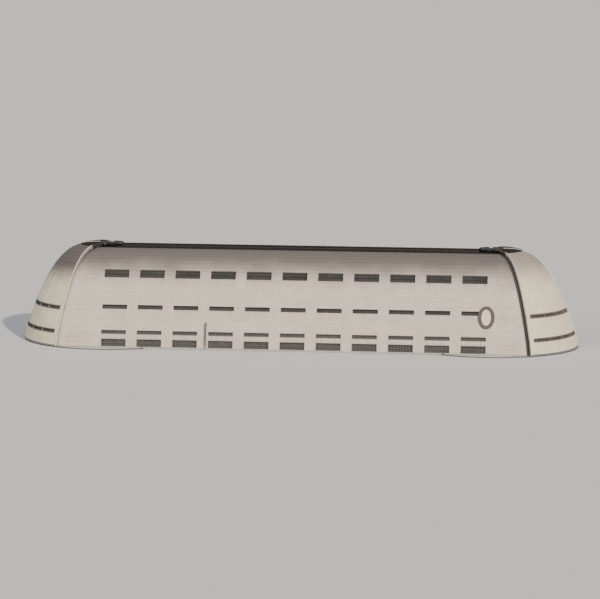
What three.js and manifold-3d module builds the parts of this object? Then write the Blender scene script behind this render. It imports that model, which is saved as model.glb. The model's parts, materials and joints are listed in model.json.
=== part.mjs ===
// Giant airship hangar, a scale model at 1:10: a long barrel of bowed section whose two ends are
// closed by pairs of orange peel door leaves, each leaf hung on a vertical pin at the ridge and
// carried on wheels along a curved runway.
// Millimetres, +Z up, origin at the middle of the footprint, on the ground. +X runs along the hangar.
import * as THREE from "three";
import { mergeVertices } from "three/addons/utils/BufferGeometryUtils.js";
import Module from "manifold-3d";

// Driving dimensions. One millimetre here is one centimetre of the real building.
const GAP = 0.4; // between pieces that rest on each other
const LENGTH = 34530; // over the closed door leaves
const HALF_WIDTH = 4550; // of the barrel at its base
const CROWN = 5800; // top of the barrel's roof
// The bowed section's half width is a flat crown share plus a leaning wall share, at each share of
// its rise: crown * (1 - s^6)^(1/5) + (1 - crown) * (1 - s^1.3).
const BOW = { crown: 0.55, shoulder: 6, flatness: 5, lean: 1.3 };
const WALL = 80; // thickness of the barrel's walls and roof
const SEAM_ANGLE = 59; // degrees in plan from the ridge line to the barrel's end edge, at the pin
const SLAB_TOP = 40;
const SLAB_HALF_WIDTH = 4555;
const SLAB_CORNER = 2731; // from the pin to the slab's corner, along X

const LEAF_RADIUS = 5450; // outer radius of a leaf at its foot
const LEAF_WALL = 110;
const LEAF_CROWN = 5997; // top of a leaf at the pin
const LEAF_STILE = 4; // from the ridge plane to a leaf's meeting stile
const LEAF_LAP = 1.5; // degrees that a leaf reaches past the barrel's end edge
const LEAF_COLUMN = 6.05; // degrees between the sections of a leaf
const LEAF_FLOOR = 165; // underside of a leaf's wall, above its wheels
const SKIRT_FOOT = 60;
const SKIRT_INSIDE = 5414;
const EYE_RADIUS = 320; // where a leaf's wall stops short of the pin
const LUG_RADIUS = 300;
const LUG_LEVELS = { front: [5860, 5918], back: [5928, 5986] };
const LUG_TONGUE = { overlap: 40, reach: 60, first: 6, last: 54, step: 8 }; // mm, then degrees

const PIN_X = LENGTH / 2 - LEAF_RADIUS;
const PIN_RADIUS = 60;
const PIN_CLEARANCE = 3;
const PIN_ROOF_HOLE = 90; // radius of the hole that the pin passes through in the crown roof
const HUB = { radius: 160, depth: 420, shoulder: 60, cone: 20 }; // carries the pin under the roof
const CAP = { foot: 6004, radius: 720, rim: 16, rise: 44, flat: 220, segments: 36 };
const COWL = { radius: 130, eaves: 80, top: 60, shoulder: 115, height: 120, segments: 16 };

const RAIL_RADII = [5340, 5392];
const RAIL_HALF_WIDTH = 10;
const RAIL_TOP = 50;
const RUNWAY = { inside: 5315, outside: 5480, reach: 120, step: 5 }; // reach and step in degrees
const WHEEL_RADIUS = 50;
const WHEEL_HALF_WIDTH = 11;
const AXLE_RADIUS = 12;
const AXLE_END = 4; // that the axle stands out past the wheels
const AXLE_SEGMENTS = 16;
const WHEEL_SEGMENTS = 16;
const PEDESTAL = { radial: 14, tangent: 34, foot: 78, into: 20 }; // half sizes, underside, overlap
const WHEEL_ANGLES = { leading: 12, trailing: 48 }; // degrees from the meeting stile

const BAY = 2200;
const BAYS = 11;
const WINDOW_WIDTH = 1460;
const WINDOW_RIM = 12; // from a course line to the window cut in that course
const GLASS = 20;
const GLASS_GAP = 0.6; // between a wall's inner face and the glass behind it
const GLASS_LAP = 40; // that the glass reaches past the outermost windows

// Heights of the wall's courses, bottom up; a course is flat, and window rows fill whole courses.
const COURSES = {
  wall: [100, 540, 860, 1060, 1760, 2350, 2560, 3300, 3900],
  roof_eaves: [3900, 4190, 4610],
  roof_slope: [4610, 4980, 5260],
  roof_shoulder: [5260, 5480],
  roof_brow: [5480, 5640],
};
const CROWN_ROOF_WIDTHS = [600, 1150, 1560]; // half widths of the crown roof's middle courses
const ARCH_LEVELS = [540, 1060, 1760, 2560, 3300, 3900, 4610, 4980, 5260, 5480, 5640];
const ARCH = { depth: 150, width: 130, setBack: 30 };
const MONITOR = { half: 200, short: 600, eaves: 120, fascia: 15, ridge: 180, overhang: 240 };

// Columns: the row's name, its course's lowest and highest height, the panel that it is cut in.
const WINDOW_ROWS = [
  { row: "upper", low: 4190, high: 4610, panel: "roof_eaves" },
  { row: "middle", low: 2350, high: 2560, panel: "wall" },
  { row: "lower", low: 860, high: 1060, panel: "wall" },
  { row: "ground", low: 100, high: 540, panel: "wall" },
];
// Columns: the ribbon's name, its lowest and highest height on a leaf.
const RIBBONS = [
  { ribbon: "high", low: 2250, high: 2460 },
  { ribbon: "low", low: 860, high: 1060 },
];
const LEAF_LEVELS = [540, 860, 1060, 1760, 2250, 2460, 3300, 3900, 4400, 4850, 5200, 5450];
const LEAF_CROWN_RADII = [2650, 2200, 1650, 900, EYE_RADIUS];
const RIBBON_CUT = [3000, 6000]; // radii that a ribbon's openings are cut between
const RIBBON_PANES = 4;
const RIBBON_START = 5; // degrees from the meeting stile to the first pane
const RIBBON_PITCH = 13.2;
const PANE_ANGLE = 12.4;

const finish = (color, roughness, metalness) =>
  new THREE.MeshStandardMaterial({ color, roughness, metalness });
const FINISHES = {
  cladding: finish(0xcdc8bc, 0.6, 0.1),
  roofing: finish(0x3d3532, 0.85, 0),
  glass: finish(0x4a4440, 0.25, 0),
  concrete: finish(0xa39d92, 0.9, 0),
  steel: finish(0x6b6764, 0.5, 0.7),
  rail: finish(0x857f78, 0.55, 0.5),
};

const wasm = await Module();
wasm.setup();

const radians = THREE.MathUtils.degToRad;
const SIDES = { front: -1, back: 1 };
const ENDS = { left: -1, right: 1 };
const seamTangent = Math.tan(radians(SEAM_ANGLE));

// A closed solid from rings of points: rings[i][j], all of one length, with both ends capped.
// caps lists the triangles of a cap as indices into a ring.
function solidFromRings(rings, caps) {
  const count = rings[0].length;
  const positions = rings.flat(2);
  const index = [];
  for (let i = 0; i + 1 < rings.length; i++) {
    for (let j = 0; j < count; j++) {
      const k = (j + 1) % count;
      const [a, b, c, d] = [i * count + j, i * count + k, (i + 1) * count + k, (i + 1) * count + j];
      index.push(a, b, c, a, c, d);
    }
  }
  const last = (rings.length - 1) * count;
  for (const [a, b, c] of caps) {
    index.push(a, c, b, last + a, last + b, last + c);
  }
  const geometry = new THREE.BufferGeometry();
  geometry.setAttribute("position", new THREE.Float32BufferAttribute(positions, 3));
  geometry.setIndex(index);
  return toSolid(geometry);
}

function toSolid(geometry) {
  const bare = geometry.clone();
  bare.deleteAttribute("normal");
  bare.deleteAttribute("uv");
  const merged = mergeVertices(bare, 1e-3);
  const triVerts = new Uint32Array(merged.index.array);
  const make = () =>
    new wasm.Manifold(
      new wasm.Mesh({ numProp: 3, vertProperties: merged.attributes.position.array, triVerts }),
    );
  const solid = make();
  if (solid.volume() > 0) return solid;
  for (let i = 0; i < triVerts.length; i += 3) {
    [triVerts[i + 1], triVerts[i + 2]] = [triVerts[i + 2], triVerts[i + 1]];
  }
  return make();
}

function toGeometry(solid) {
  const mesh = solid.getMesh();
  const geometry = new THREE.BufferGeometry();
  const positions = new Float32Array(mesh.numVert * 3);
  for (let i = 0; i < mesh.numVert; i++) {
    positions.set(mesh.vertProperties.subarray(i * mesh.numProp, i * mesh.numProp + 3), i * 3);
  }
  geometry.setAttribute("position", new THREE.BufferAttribute(positions, 3));
  geometry.setIndex(new THREE.BufferAttribute(new Uint32Array(mesh.triVerts), 1));
  const flat = geometry.toNonIndexed();
  flat.computeVertexNormals();
  return flat;
}

function box(lowX, highX, lowY, highY, lowZ, highZ) {
  const geometry = new THREE.BoxGeometry(highX - lowX, highY - lowY, highZ - lowZ);
  geometry.translate((lowX + highX) / 2, (lowY + highY) / 2, (lowZ + highZ) / 2);
  return toSolid(geometry);
}

// An upright turned solid about the Z axis; profile holds [radius, height] pairs, closed.
function turned(profile, segments = 24) {
  const points = profile.map(([radius, height]) => new THREE.Vector2(radius, height));
  return toSolid(new THREE.LatheGeometry(points, segments).rotateX(Math.PI / 2));
}

const hangar = new THREE.Group();

function addPiece(name, solid, material) {
  const mesh = new THREE.Mesh(toGeometry(solid), material);
  mesh.name = name;
  hangar.add(mesh);
}

// Bowed section
const SECTION_FOOT = SLAB_TOP + GAP;

// Share of the foot's half width that the section keeps at a share of its rise.
function widthShare(share) {
  const { crown, shoulder, flatness, lean } = BOW;
  const top = crown * Math.max(0, 1 - share ** shoulder) ** (1 / flatness);
  return top + (1 - crown) * (1 - share ** lean);
}

// Share of the rise at which the section keeps a share of its width, by halving.
function shareAtWidth(width) {
  let [low, high] = [0, 1];
  for (let i = 0; i < 60; i++) {
    const middle = (low + high) / 2;
    if (widthShare(middle) > width) low = middle;
    else high = middle;
  }
  return low;
}

// Half width and height of a bow at a share of its rise, inset from its outer face.
function bowPoint(halfWidth, crown, share, inset) {
  return [
    (halfWidth - inset) * widthShare(share),
    SECTION_FOOT + (crown - inset - SECTION_FOOT) * share,
  ];
}

const shareAtHeight = (height, crown) => (height - SECTION_FOOT) / (crown - SECTION_FOOT);
const barrelShare = (height) => shareAtHeight(height, CROWN);
const bow = (share, inset) => bowPoint(HALF_WIDTH, CROWN, share, inset);

// The barrel's end edge lies in an upright plane through the pin, on either side of the ridge.
const seamX = (y) => PIN_X + Math.abs(y) / seamTangent;

// A strip of the bowed shell between two insets. Stations are [side, share] pairs in order round the
// section, and lowX and highX give the ends at each y.
function bowedStrip(stations, outerInset, innerInset, lowX, highX) {
  const points = (inset) =>
    stations.map(([side, share]) => {
      const [width, height] = bow(share, inset);
      return [side * width, height];
    });
  const loop = [...points(outerInset), ...points(innerInset).reverse()];
  const count = stations.length;
  const caps = [];
  for (let i = 0; i + 1 < count; i++) {
    const [a, b, c, d] = [i, i + 1, 2 * count - 2 - i, 2 * count - 1 - i];
    caps.push([a, b, c], [a, c, d]);
  }
  const ring = (xAt) => loop.map(([y, z]) => [xAt(y), y, z]);
  return solidFromRings([ring(lowX), ring(highX)], caps);
}

const sideStations = (side, shares) => shares.map((share) => [side, share]);
const STEP_UP = 1e-4; // share of the rise between two panels that meet on a course line
const panels = Object.entries(COURSES).map(([panelName, levels]) => {
  const shares = levels.map(barrelShare);
  if (panelName === "wall") return [panelName, [0, ...shares]];
  shares[0] += STEP_UP;
  return [panelName, shares];
});
const bays = Array.from({ length: BAYS }, (_, i) => (i - (BAYS - 1) / 2) * BAY);

function shellPanel(side, shares, rows) {
  let panel = bowedStrip(sideStations(side, shares), 0, WALL, (y) => -seamX(y), seamX);
  for (const { low, high } of rows) {
    const [outer] = bow(barrelShare(low), -WALL);
    const [inner] = bow(barrelShare(high), 2 * WALL);
    const [lowY, highY] = side < 0 ? [-outer, -inner] : [inner, outer];
    for (const x of bays) {
      const half = WINDOW_WIDTH / 2;
      panel = panel.subtract(
        box(x - half, x + half, lowY, highY, low + WINDOW_RIM, high - WINDOW_RIM),
      );
    }
  }
  return panel;
}

for (const [sideName, side] of Object.entries(SIDES)) {
  for (const [panelName, shares] of panels) {
    const rows = WINDOW_ROWS.filter((row) => row.panel === panelName);
    addPiece(`${panelName}_${sideName}`, shellPanel(side, shares, rows), FINISHES.cladding);
  }
  for (const { row, low, high } of WINDOW_ROWS) {
    const shares = [barrelShare(low), barrelShare(high)];
    const reach = (BAYS * BAY - BAY + WINDOW_WIDTH) / 2 + GLASS_LAP;
    const band = bowedStrip(
      sideStations(side, shares), WALL + GLASS_GAP, WALL + GLASS, () => -reach, () => reach,
    );
    addPiece(`glazing_${row}_${sideName}`, band, FINISHES.glass);
  }
}

// Crown roof, ridge monitor and end arches
const crownShares = [
  barrelShare(COURSES.roof_brow.at(-1)) + STEP_UP,
  ...CROWN_ROOF_WIDTHS.toReversed().map((width) => shareAtWidth(width / HALF_WIDTH)),
];
const acrossRidge = (shares) => [
  ...sideStations(-1, shares), [1, 1], ...sideStations(1, shares.toReversed()),
];
const archStations = acrossRidge([0, ...ARCH_LEVELS.map(barrelShare)]);

let crownRoof = bowedStrip(acrossRidge(crownShares), 0, WALL, (y) => -seamX(y), seamX);
for (const end of Object.values(ENDS)) {
  const [foot, top] = [CROWN - 4 * WALL, CROWN + WALL];
  const hole = turned([[0, foot], [PIN_ROOF_HOLE, foot], [PIN_ROOF_HOLE, top], [0, top]]);
  crownRoof = crownRoof.subtract(hole.translate([end * PIN_X, 0, 0]));
}
addPiece("crown_roof", crownRoof, FINISHES.roofing);

const eaves = CROWN + MONITOR.eaves;
const monitorSide = [
  [MONITOR.half, CROWN + GAP], [MONITOR.half, eaves],
  [MONITOR.overhang, eaves], [MONITOR.overhang, eaves + MONITOR.fascia],
];
const monitorOutline = new THREE.Shape([
  ...monitorSide.map(([y, z]) => new THREE.Vector2(y, z)),
  new THREE.Vector2(0, CROWN + MONITOR.ridge),
  ...monitorSide.toReversed().map(([y, z]) => new THREE.Vector2(-y, z)),
]);
const monitorEnd = PIN_X - MONITOR.short;
const monitor = new THREE.ExtrudeGeometry(monitorOutline, {
  depth: 2 * monitorEnd, bevelEnabled: false,
});
monitor.rotateX(Math.PI / 2).rotateZ(Math.PI / 2).translate(-monitorEnd, 0, 0);
addPiece("ridge_monitor", toSolid(monitor), FINISHES.roofing);

for (const [endName, end] of Object.entries(ENDS)) {
  const inner = (y) => seamX(y) - ARCH.setBack - ARCH.width;
  const outer = (y) => seamX(y) - ARCH.setBack;
  const arch = bowedStrip(archStations, WALL + GAP, WALL + ARCH.depth, inner, outer);
  const hubTop = CROWN - WALL - GAP;
  const pin = turned([
    [0, hubTop - HUB.depth], [HUB.radius, hubTop - HUB.depth], [HUB.radius, hubTop - HUB.shoulder],
    [PIN_RADIUS, hubTop - HUB.shoulder + HUB.cone], [PIN_RADIUS, CAP.foot - GAP],
    [0, CAP.foot - GAP],
  ]);
  const frame = arch.add(pin.translate([PIN_X, 0, 0]));
  addPiece(`end_arch_${endName}`, end > 0 ? frame : frame.mirror([1, 0, 0]), FINISHES.steel);

  const capTop = CAP.foot + CAP.rise;
  const cap = turned([
    [0, CAP.foot], [CAP.radius, CAP.foot], [CAP.radius, CAP.foot + CAP.rim], [CAP.flat, capTop],
    [0, capTop],
  ], CAP.segments);
  addPiece(`pin_cap_${endName}`, cap.translate([end * PIN_X, 0, 0]), FINISHES.roofing);
  const cowl = turned([
    [0, capTop + GAP], [COWL.radius, capTop + GAP], [COWL.radius, capTop + COWL.eaves],
    [COWL.top, capTop + COWL.shoulder], [0, capTop + COWL.height],
  ], COWL.segments);
  addPiece(`pin_cowl_${endName}`, cowl.translate([end * PIN_X, 0, 0]), FINISHES.cladding);
}

// Door leaves
// Radius and height of a leaf's surface at an outer height or radius, inset from its outer face.
function leafAtHeight(height, inset) {
  return bowPoint(LEAF_RADIUS, LEAF_CROWN, shareAtHeight(height, LEAF_CROWN - inset), inset);
}

function leafAtRadius(radius, inset) {
  return bowPoint(LEAF_RADIUS, LEAF_CROWN, shareAtWidth(radius / (LEAF_RADIUS - inset)), inset);
}

// A solid swept about the pin: an outline of [radius, height] pairs, at a list of plan angles in
// degrees. Where stile is given, the first section keeps that distance from the ridge plane.
function swept(outline, angles, stile = 0) {
  const points = outline.map(([radius, height]) => new THREE.Vector2(radius, height));
  const caps = THREE.ShapeUtils.triangulateShape(points, []);
  const rings = angles.map((angle, i) =>
    outline.map(([radius, height]) => {
      const turn = i === 0 && stile ? Math.asin(stile / radius) : radians(angle);
      return [radius * Math.cos(turn), radius * Math.sin(turn), height];
    }),
  );
  return solidFromRings(rings, caps);
}

function angleSteps(first, last, step) {
  const count = Math.max(1, Math.round((last - first) / step));
  return Array.from({ length: count + 1 }, (_, i) => first + ((last - first) * i) / count);
}

const leafEnd = SEAM_ANGLE + LEAF_LAP;
const leafAngles = angleSteps(0, leafEnd, LEAF_COLUMN);

function leafOutline() {
  const outside = [SKIRT_FOOT, ...LEAF_LEVELS].map((height) => leafAtHeight(height, 0));
  const inside = [LEAF_FLOOR, ...LEAF_LEVELS.slice(0, -1)].map((height) =>
    leafAtHeight(height, LEAF_WALL),
  );
  const over = LEAF_CROWN_RADII.map((radius) => leafAtRadius(radius, 0));
  const under = LEAF_CROWN_RADII.map((radius) => leafAtRadius(radius, LEAF_WALL));
  return [
    ...outside, ...over, ...under.reverse(), ...inside.reverse(),
    [SKIRT_INSIDE, LEAF_FLOOR], [SKIRT_INSIDE, SKIRT_FOOT],
  ];
}

const wheelHeight = RAIL_TOP + WHEEL_RADIUS + GAP;
const axleMiddle = (RAIL_RADII[0] + RAIL_RADII[1]) / 2;

// A ring outline between two radii and two heights.
const ringOutline = (near, far, low, high) => [[near, low], [far, low], [far, high], [near, high]];

// A leaf in the quarter between +X and +Y, with its pin on the Z axis.
function leafSolid([lugLow, lugHigh]) {
  let leaf = swept(leafOutline(), leafAngles, LEAF_STILE);
  for (const { low, high } of RIBBONS) {
    const outline = ringOutline(...RIBBON_CUT, low + WINDOW_RIM, high - WINDOW_RIM);
    for (let i = 0; i < RIBBON_PANES; i++) {
      const start = RIBBON_START + i * RIBBON_PITCH;
      leaf = leaf.subtract(swept(outline, angleSteps(start, start + PANE_ANGLE, LEAF_COLUMN)));
    }
  }
  const lug = ringOutline(PIN_RADIUS + PIN_CLEARANCE, LUG_RADIUS, lugLow, lugHigh);
  const { overlap, reach, first, last, step } = LUG_TONGUE;
  const tongue = ringOutline(LUG_RADIUS - overlap, EYE_RADIUS + reach, lugLow, lugHigh);
  leaf = leaf.add(turned([...lug, lug[0]])).add(swept(tongue, angleSteps(first, last, step)));
  for (const angle of Object.values(WHEEL_ANGLES)) {
    const { radial, tangent, foot, into } = PEDESTAL;
    const [near, far] = [axleMiddle - radial, axleMiddle + radial];
    const block = box(near, far, -tangent, tangent, foot, LEAF_FLOOR + into);
    const bore = turned(ringOutline(0, AXLE_RADIUS + 1, -tangent, tangent), AXLE_SEGMENTS);
    const pedestal = block.subtract(bore.rotate([0, 90, 0]).translate([axleMiddle, 0, wheelHeight]));
    leaf = leaf.add(pedestal.rotate([0, 0, angle]));
  }
  return leaf;
}

function ribbonSolid(low, high) {
  const face = (inset) => [low, high].map((height) => leafAtHeight(height, inset));
  const outline = [...face(LEAF_WALL + GLASS_GAP), ...face(LEAF_WALL + GLASS).reverse()];
  return swept(outline, leafAngles, LEAF_STILE);
}

function wheelsetSolid() {
  const [near, far] = RAIL_RADII.map((radius) => radius - axleMiddle);
  const tip = far + WHEEL_HALF_WIDTH + AXLE_END;
  const wheel = (middle) => [
    [AXLE_RADIUS, middle - WHEEL_HALF_WIDTH], [WHEEL_RADIUS, middle - WHEEL_HALF_WIDTH],
    [WHEEL_RADIUS, middle + WHEEL_HALF_WIDTH], [AXLE_RADIUS, middle + WHEEL_HALF_WIDTH],
  ];
  const profile = [
    [0, -tip], [AXLE_RADIUS, -tip], ...wheel(near), ...wheel(far), [AXLE_RADIUS, tip], [0, tip],
  ];
  return turned(profile, WHEEL_SEGMENTS).rotate([0, 90, 0]);
}

for (const [endName, end] of Object.entries(ENDS)) {
  for (const [sideName, side] of Object.entries(SIDES)) {
    const mirrored = (solid) => {
      let placed = solid;
      if (side < 0) placed = placed.mirror([0, 1, 0]);
      if (end < 0) placed = placed.mirror([1, 0, 0]);
      return placed.translate([end * PIN_X, 0, 0]);
    };
    const place = `${endName}_${sideName}`;
    addPiece(`door_leaf_${place}`, mirrored(leafSolid(LUG_LEVELS[sideName])), FINISHES.cladding);
    for (const { ribbon, low, high } of RIBBONS) {
      addPiece(`door_glazing_${ribbon}_${place}`, mirrored(ribbonSolid(low, high)), FINISHES.glass);
    }
    for (const [position, angle] of Object.entries(WHEEL_ANGLES)) {
      const wheelset = wheelsetSolid().translate([axleMiddle, 0, wheelHeight]).rotate([0, 0, angle]);
      addPiece(`wheelset_${position}_${place}`, mirrored(wheelset), FINISHES.steel);
    }
  }
}

// Runways and floor slab
const runwayAngles = angleSteps(-RUNWAY.reach, RUNWAY.reach, RUNWAY.step);
const railOutline = RAIL_RADII.toReversed().flatMap((radius) => [
  [radius + RAIL_HALF_WIDTH, SLAB_TOP], [radius + RAIL_HALF_WIDTH, RAIL_TOP],
  [radius - RAIL_HALF_WIDTH, RAIL_TOP], [radius - RAIL_HALF_WIDTH, SLAB_TOP],
]);
const runwayOutline = [
  [RUNWAY.inside, 0], [RUNWAY.outside, 0], [RUNWAY.outside, SLAB_TOP], ...railOutline,
  [RUNWAY.inside, SLAB_TOP],
];
for (const [endName, end] of Object.entries(ENDS)) {
  const runway = swept(runwayOutline, runwayAngles);
  const turnedRound = end > 0 ? runway : runway.mirror([1, 0, 0]);
  addPiece(`door_runway_${endName}`, turnedRound.translate([end * PIN_X, 0, 0]), FINISHES.rail);
}

const slabRadius = RUNWAY.inside - GAP;
const slabAngles = runwayAngles.filter((angle) => Math.abs(angle) < SEAM_ANGLE - RUNWAY.step / 2);
const slabArc = slabAngles.map((angle) => [
  PIN_X + slabRadius * Math.cos(radians(angle)), slabRadius * Math.sin(radians(angle)),
]);
const slabEnd = [
  [PIN_X + SLAB_CORNER, -SLAB_HALF_WIDTH], ...slabArc, [PIN_X + SLAB_CORNER, SLAB_HALF_WIDTH],
];
const slabOutline = [...slabEnd, ...slabEnd.map(([x, y]) => [-x, -y])];
const slab = new THREE.ExtrudeGeometry(
  new THREE.Shape(slabOutline.map(([x, y]) => new THREE.Vector2(x, y))),
  { depth: SLAB_TOP, bevelEnabled: false },
);
addPiece("floor_slab", toSolid(slab), FINISHES.concrete);

export default hangar;
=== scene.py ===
"""Looks of a giant airship hangar, built as a 1:10 model: cladding, windows, roof, steelwork and finishes.

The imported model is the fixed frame. Metres, +Z up, +X along the hangar, the side at -Y faces the camera.
"""

import json
import logging
import math
from bisect import bisect_left
from collections.abc import Callable, Iterator, Sequence
from contextlib import contextmanager
from dataclasses import dataclass
from enum import Enum
from typing import Self

import bmesh
import bpy
from mathutils import Matrix, Vector


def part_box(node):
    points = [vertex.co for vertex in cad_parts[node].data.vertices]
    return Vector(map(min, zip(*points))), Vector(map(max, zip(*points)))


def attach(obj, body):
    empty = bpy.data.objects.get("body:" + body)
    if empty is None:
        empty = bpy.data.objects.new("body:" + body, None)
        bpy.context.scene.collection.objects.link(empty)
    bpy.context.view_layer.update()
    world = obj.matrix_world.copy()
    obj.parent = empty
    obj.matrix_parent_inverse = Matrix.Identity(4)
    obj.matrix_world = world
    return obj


log = logging.getLogger("hangar")
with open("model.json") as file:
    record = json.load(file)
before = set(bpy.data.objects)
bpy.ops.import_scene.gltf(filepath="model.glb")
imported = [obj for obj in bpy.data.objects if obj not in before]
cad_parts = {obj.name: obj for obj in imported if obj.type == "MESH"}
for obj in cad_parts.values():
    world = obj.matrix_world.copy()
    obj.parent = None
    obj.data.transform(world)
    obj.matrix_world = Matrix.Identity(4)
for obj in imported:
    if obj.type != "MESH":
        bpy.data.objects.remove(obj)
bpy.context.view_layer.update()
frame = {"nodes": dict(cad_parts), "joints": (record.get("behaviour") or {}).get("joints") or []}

Point2 = tuple[float, float]
Colour = tuple[float, float, float]
SHARP_ANGLE = math.radians(28)
BEVEL_ANGLE = math.radians(50)
LEAF_STEP = math.radians(2.4)  # plan angle between the sections of most of a leaf's sheets
SHEET = 0.006  # thickness of sheet metal
OFF_FLOOR = 0.03  # from the foot of a wall or leaf to the lowest edge of what hangs on it
HALF_BAR = 0.011  # half the width of a glazing bar
BAR_DEPTH = 0.02
TRIM_WIDTH = 0.035
COURSE_SHARES = (0.0, 0.35, 0.7, 1.0)  # where a lapped course's profile has its points
WAVE_TURN = 20  # radians that a Wave texture turns in a metre at scale 1


class Side(Enum):
    """The two long sides of the hangar, by the sign of Y."""

    FRONT = -1
    BACK = 1

    @property
    def label(self) -> str:
        """The side's name as the nodes spell it."""
        return self.name.lower()


class End(Enum):
    """The two ends of the hangar, by the sign of X."""

    LEFT = -1
    RIGHT = 1

    @property
    def label(self) -> str:
        """The end's name as the nodes spell it."""
        return self.name.lower()


class Pattern(Enum):
    """The relief that a sheet metal finish carries."""

    CORRUGATED = "corrugated"
    PLAIN = "plain"


def deselect() -> None:
    """Leaves no object selected."""
    bpy.ops.object.select_all(action="DESELECT")


def activate(piece: bpy.types.Object) -> None:
    """Leaves one piece selected, and makes it the active one.

    Args:
        piece: The piece.
    """
    deselect()
    piece.select_set(True)
    bpy.context.view_layer.objects.active = piece


@contextmanager
def editing(piece: bpy.types.Object, whole: bool = False) -> Iterator[bmesh.types.BMesh]:
    """Opens a piece in edit mode, and closes it again.

    Args:
        piece: The mesh object to edit.
        whole: Whether all of it is selected, or nothing.

    Yields:
        Its mesh in edit mode.
    """
    activate(piece)
    bpy.ops.object.mode_set(mode="EDIT")
    bpy.ops.mesh.select_all(action="SELECT" if whole else "DESELECT")
    yield bmesh.from_edit_mesh(piece.data)
    bpy.ops.object.mode_set(mode="OBJECT")


def apply_modifier(piece: bpy.types.Object, kind: str, **settings: object) -> None:
    """Adds a modifier with its settings and applies it.

    Args:
        piece: The mesh object.
        kind: Blender's name for the modifier's type.
        settings: Values of the modifier's own properties.
    """
    activate(piece)
    modifier = piece.modifiers.new(kind.title(), kind)
    for key, value in settings.items():
        setattr(modifier, key, value)
    bpy.ops.object.modifier_apply(modifier=modifier.name)


def named(name: str) -> bpy.types.Object:
    """Gives the primitive that was just added its name, and returns it.

    Args:
        name: The name of the object and of its mesh.

    Returns:
        The object.
    """
    piece = bpy.context.active_object
    piece.name = name
    piece.data.name = name
    return piece


def settle(piece: bpy.types.Object) -> None:
    """Moves a piece's place into its mesh, so that its object is at the origin."""
    activate(piece)
    bpy.ops.object.transform_apply(location=True, rotation=True, scale=True)


def join(pieces: Sequence[bpy.types.Object], name: str) -> bpy.types.Object:
    """Joins pieces into the first one.

    Args:
        pieces: Mesh objects, at least one.
        name: The joined piece's name.

    Returns:
        The joined piece.
    """
    for piece in pieces:
        settle(piece)
    deselect()
    for piece in pieces:
        piece.select_set(True)
    bpy.context.view_layer.objects.active = pieces[0]
    if len(pieces) > 1:
        bpy.ops.object.join()
    return named(name)


def copied(piece: bpy.types.Object, name: str, matrix: Matrix) -> bpy.types.Object:
    """Copies a piece with its own mesh, moved by a matrix that may mirror it.

    Args:
        piece: The piece to copy, at the origin.
        name: The copy's name.
        matrix: Where the copy goes.

    Returns:
        The copy, at the origin.
    """
    twin = piece.copy()
    twin.data = piece.data.copy()
    twin.name = twin.data.name = name
    bpy.context.scene.collection.objects.link(twin)
    twin.data.transform(matrix)
    if matrix.determinant() < 0:
        with editing(twin, whole=True):
            bpy.ops.mesh.flip_normals()
    return twin


def copies(piece: bpy.types.Object, places: Sequence[Matrix]) -> list[bpy.types.Object]:
    """Copies a piece to each of some places, and removes the piece itself.

    Args:
        piece: The piece to copy, at the origin.
        places: Where the copies go.

    Returns:
        The copies, in the order of the places.
    """
    twins = [copied(piece, f"{piece.name}_{i}", place) for i, place in enumerate(places)]
    bpy.data.objects.remove(piece)
    return twins


def spread(count: int, pitch: float) -> list[float]:
    """Places along X at one pitch, evenly to both sides of the middle."""
    return [(i - (count - 1) / 2) * pitch for i in range(count)]


def along_x(places: Sequence[float]) -> list[Matrix]:
    """The moves from the middle to places along X."""
    return [Matrix.Translation((x, 0, 0)) for x in places]


def quarters() -> Iterator[tuple[End, Side, Matrix]]:
    """The hangar's four quarters.

    Yields:
        A quarter's end, its side and the matrix that mirrors the back right quarter to it.
    """
    for end in End:
        for side in Side:
            yield end, side, Matrix.Diagonal((end.value, side.value, 1, 1))


def outward(piece: bpy.types.Object, inside: Callable[[Vector], Vector]) -> None:
    """Turns the faces of an open sheet so that they point away from its inner side.

    Args:
        piece: The sheet.
        inside: Gives, for a face's middle, a point on the inner side.
    """
    with editing(piece) as mesh:
        bpy.ops.mesh.select_mode(type="FACE")
        for face in mesh.faces:
            middle = face.calc_center_median()
            face.select = face.normal.dot(middle - inside(middle)) < 0
        bmesh.update_edit_mesh(piece.data)
        if any(face.select for face in mesh.faces):
            bpy.ops.mesh.flip_normals()


def face_out(piece: bpy.types.Object, pin: float | None = None) -> None:
    """Turns a wall's faces away from the ridge plane, or from a pin.

    Args:
        piece: The sheet.
        pin: The pin's place along X, or None for the ridge plane.
    """
    outward(piece, lambda at: Vector((at.x if pin is None else pin, 0, at.z - 1.0)))


def face_up(piece: bpy.types.Object) -> None:
    """Turns a roof sheet's faces upwards."""
    outward(piece, lambda at: at - Vector((0, 0, 1)))


def dress(
    piece: bpy.types.Object,
    material: bpy.types.Material,
    body: str = "building",
    smooth: bool = False,
) -> None:
    """Finishes a piece: its place in its mesh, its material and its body.

    Args:
        piece: The piece.
        material: The finish.
        body: The body that it rides on.
        smooth: Whether soft edges are shaded smooth.
    """
    settle(piece)
    if smooth:
        bpy.ops.object.shade_smooth_by_angle(angle=SHARP_ANGLE)
    piece.data.materials.clear()
    piece.data.materials.append(material)
    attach(piece, body)
    log.info("%s: %d faces on %s", piece.name, len(piece.data.polygons), body)


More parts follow.
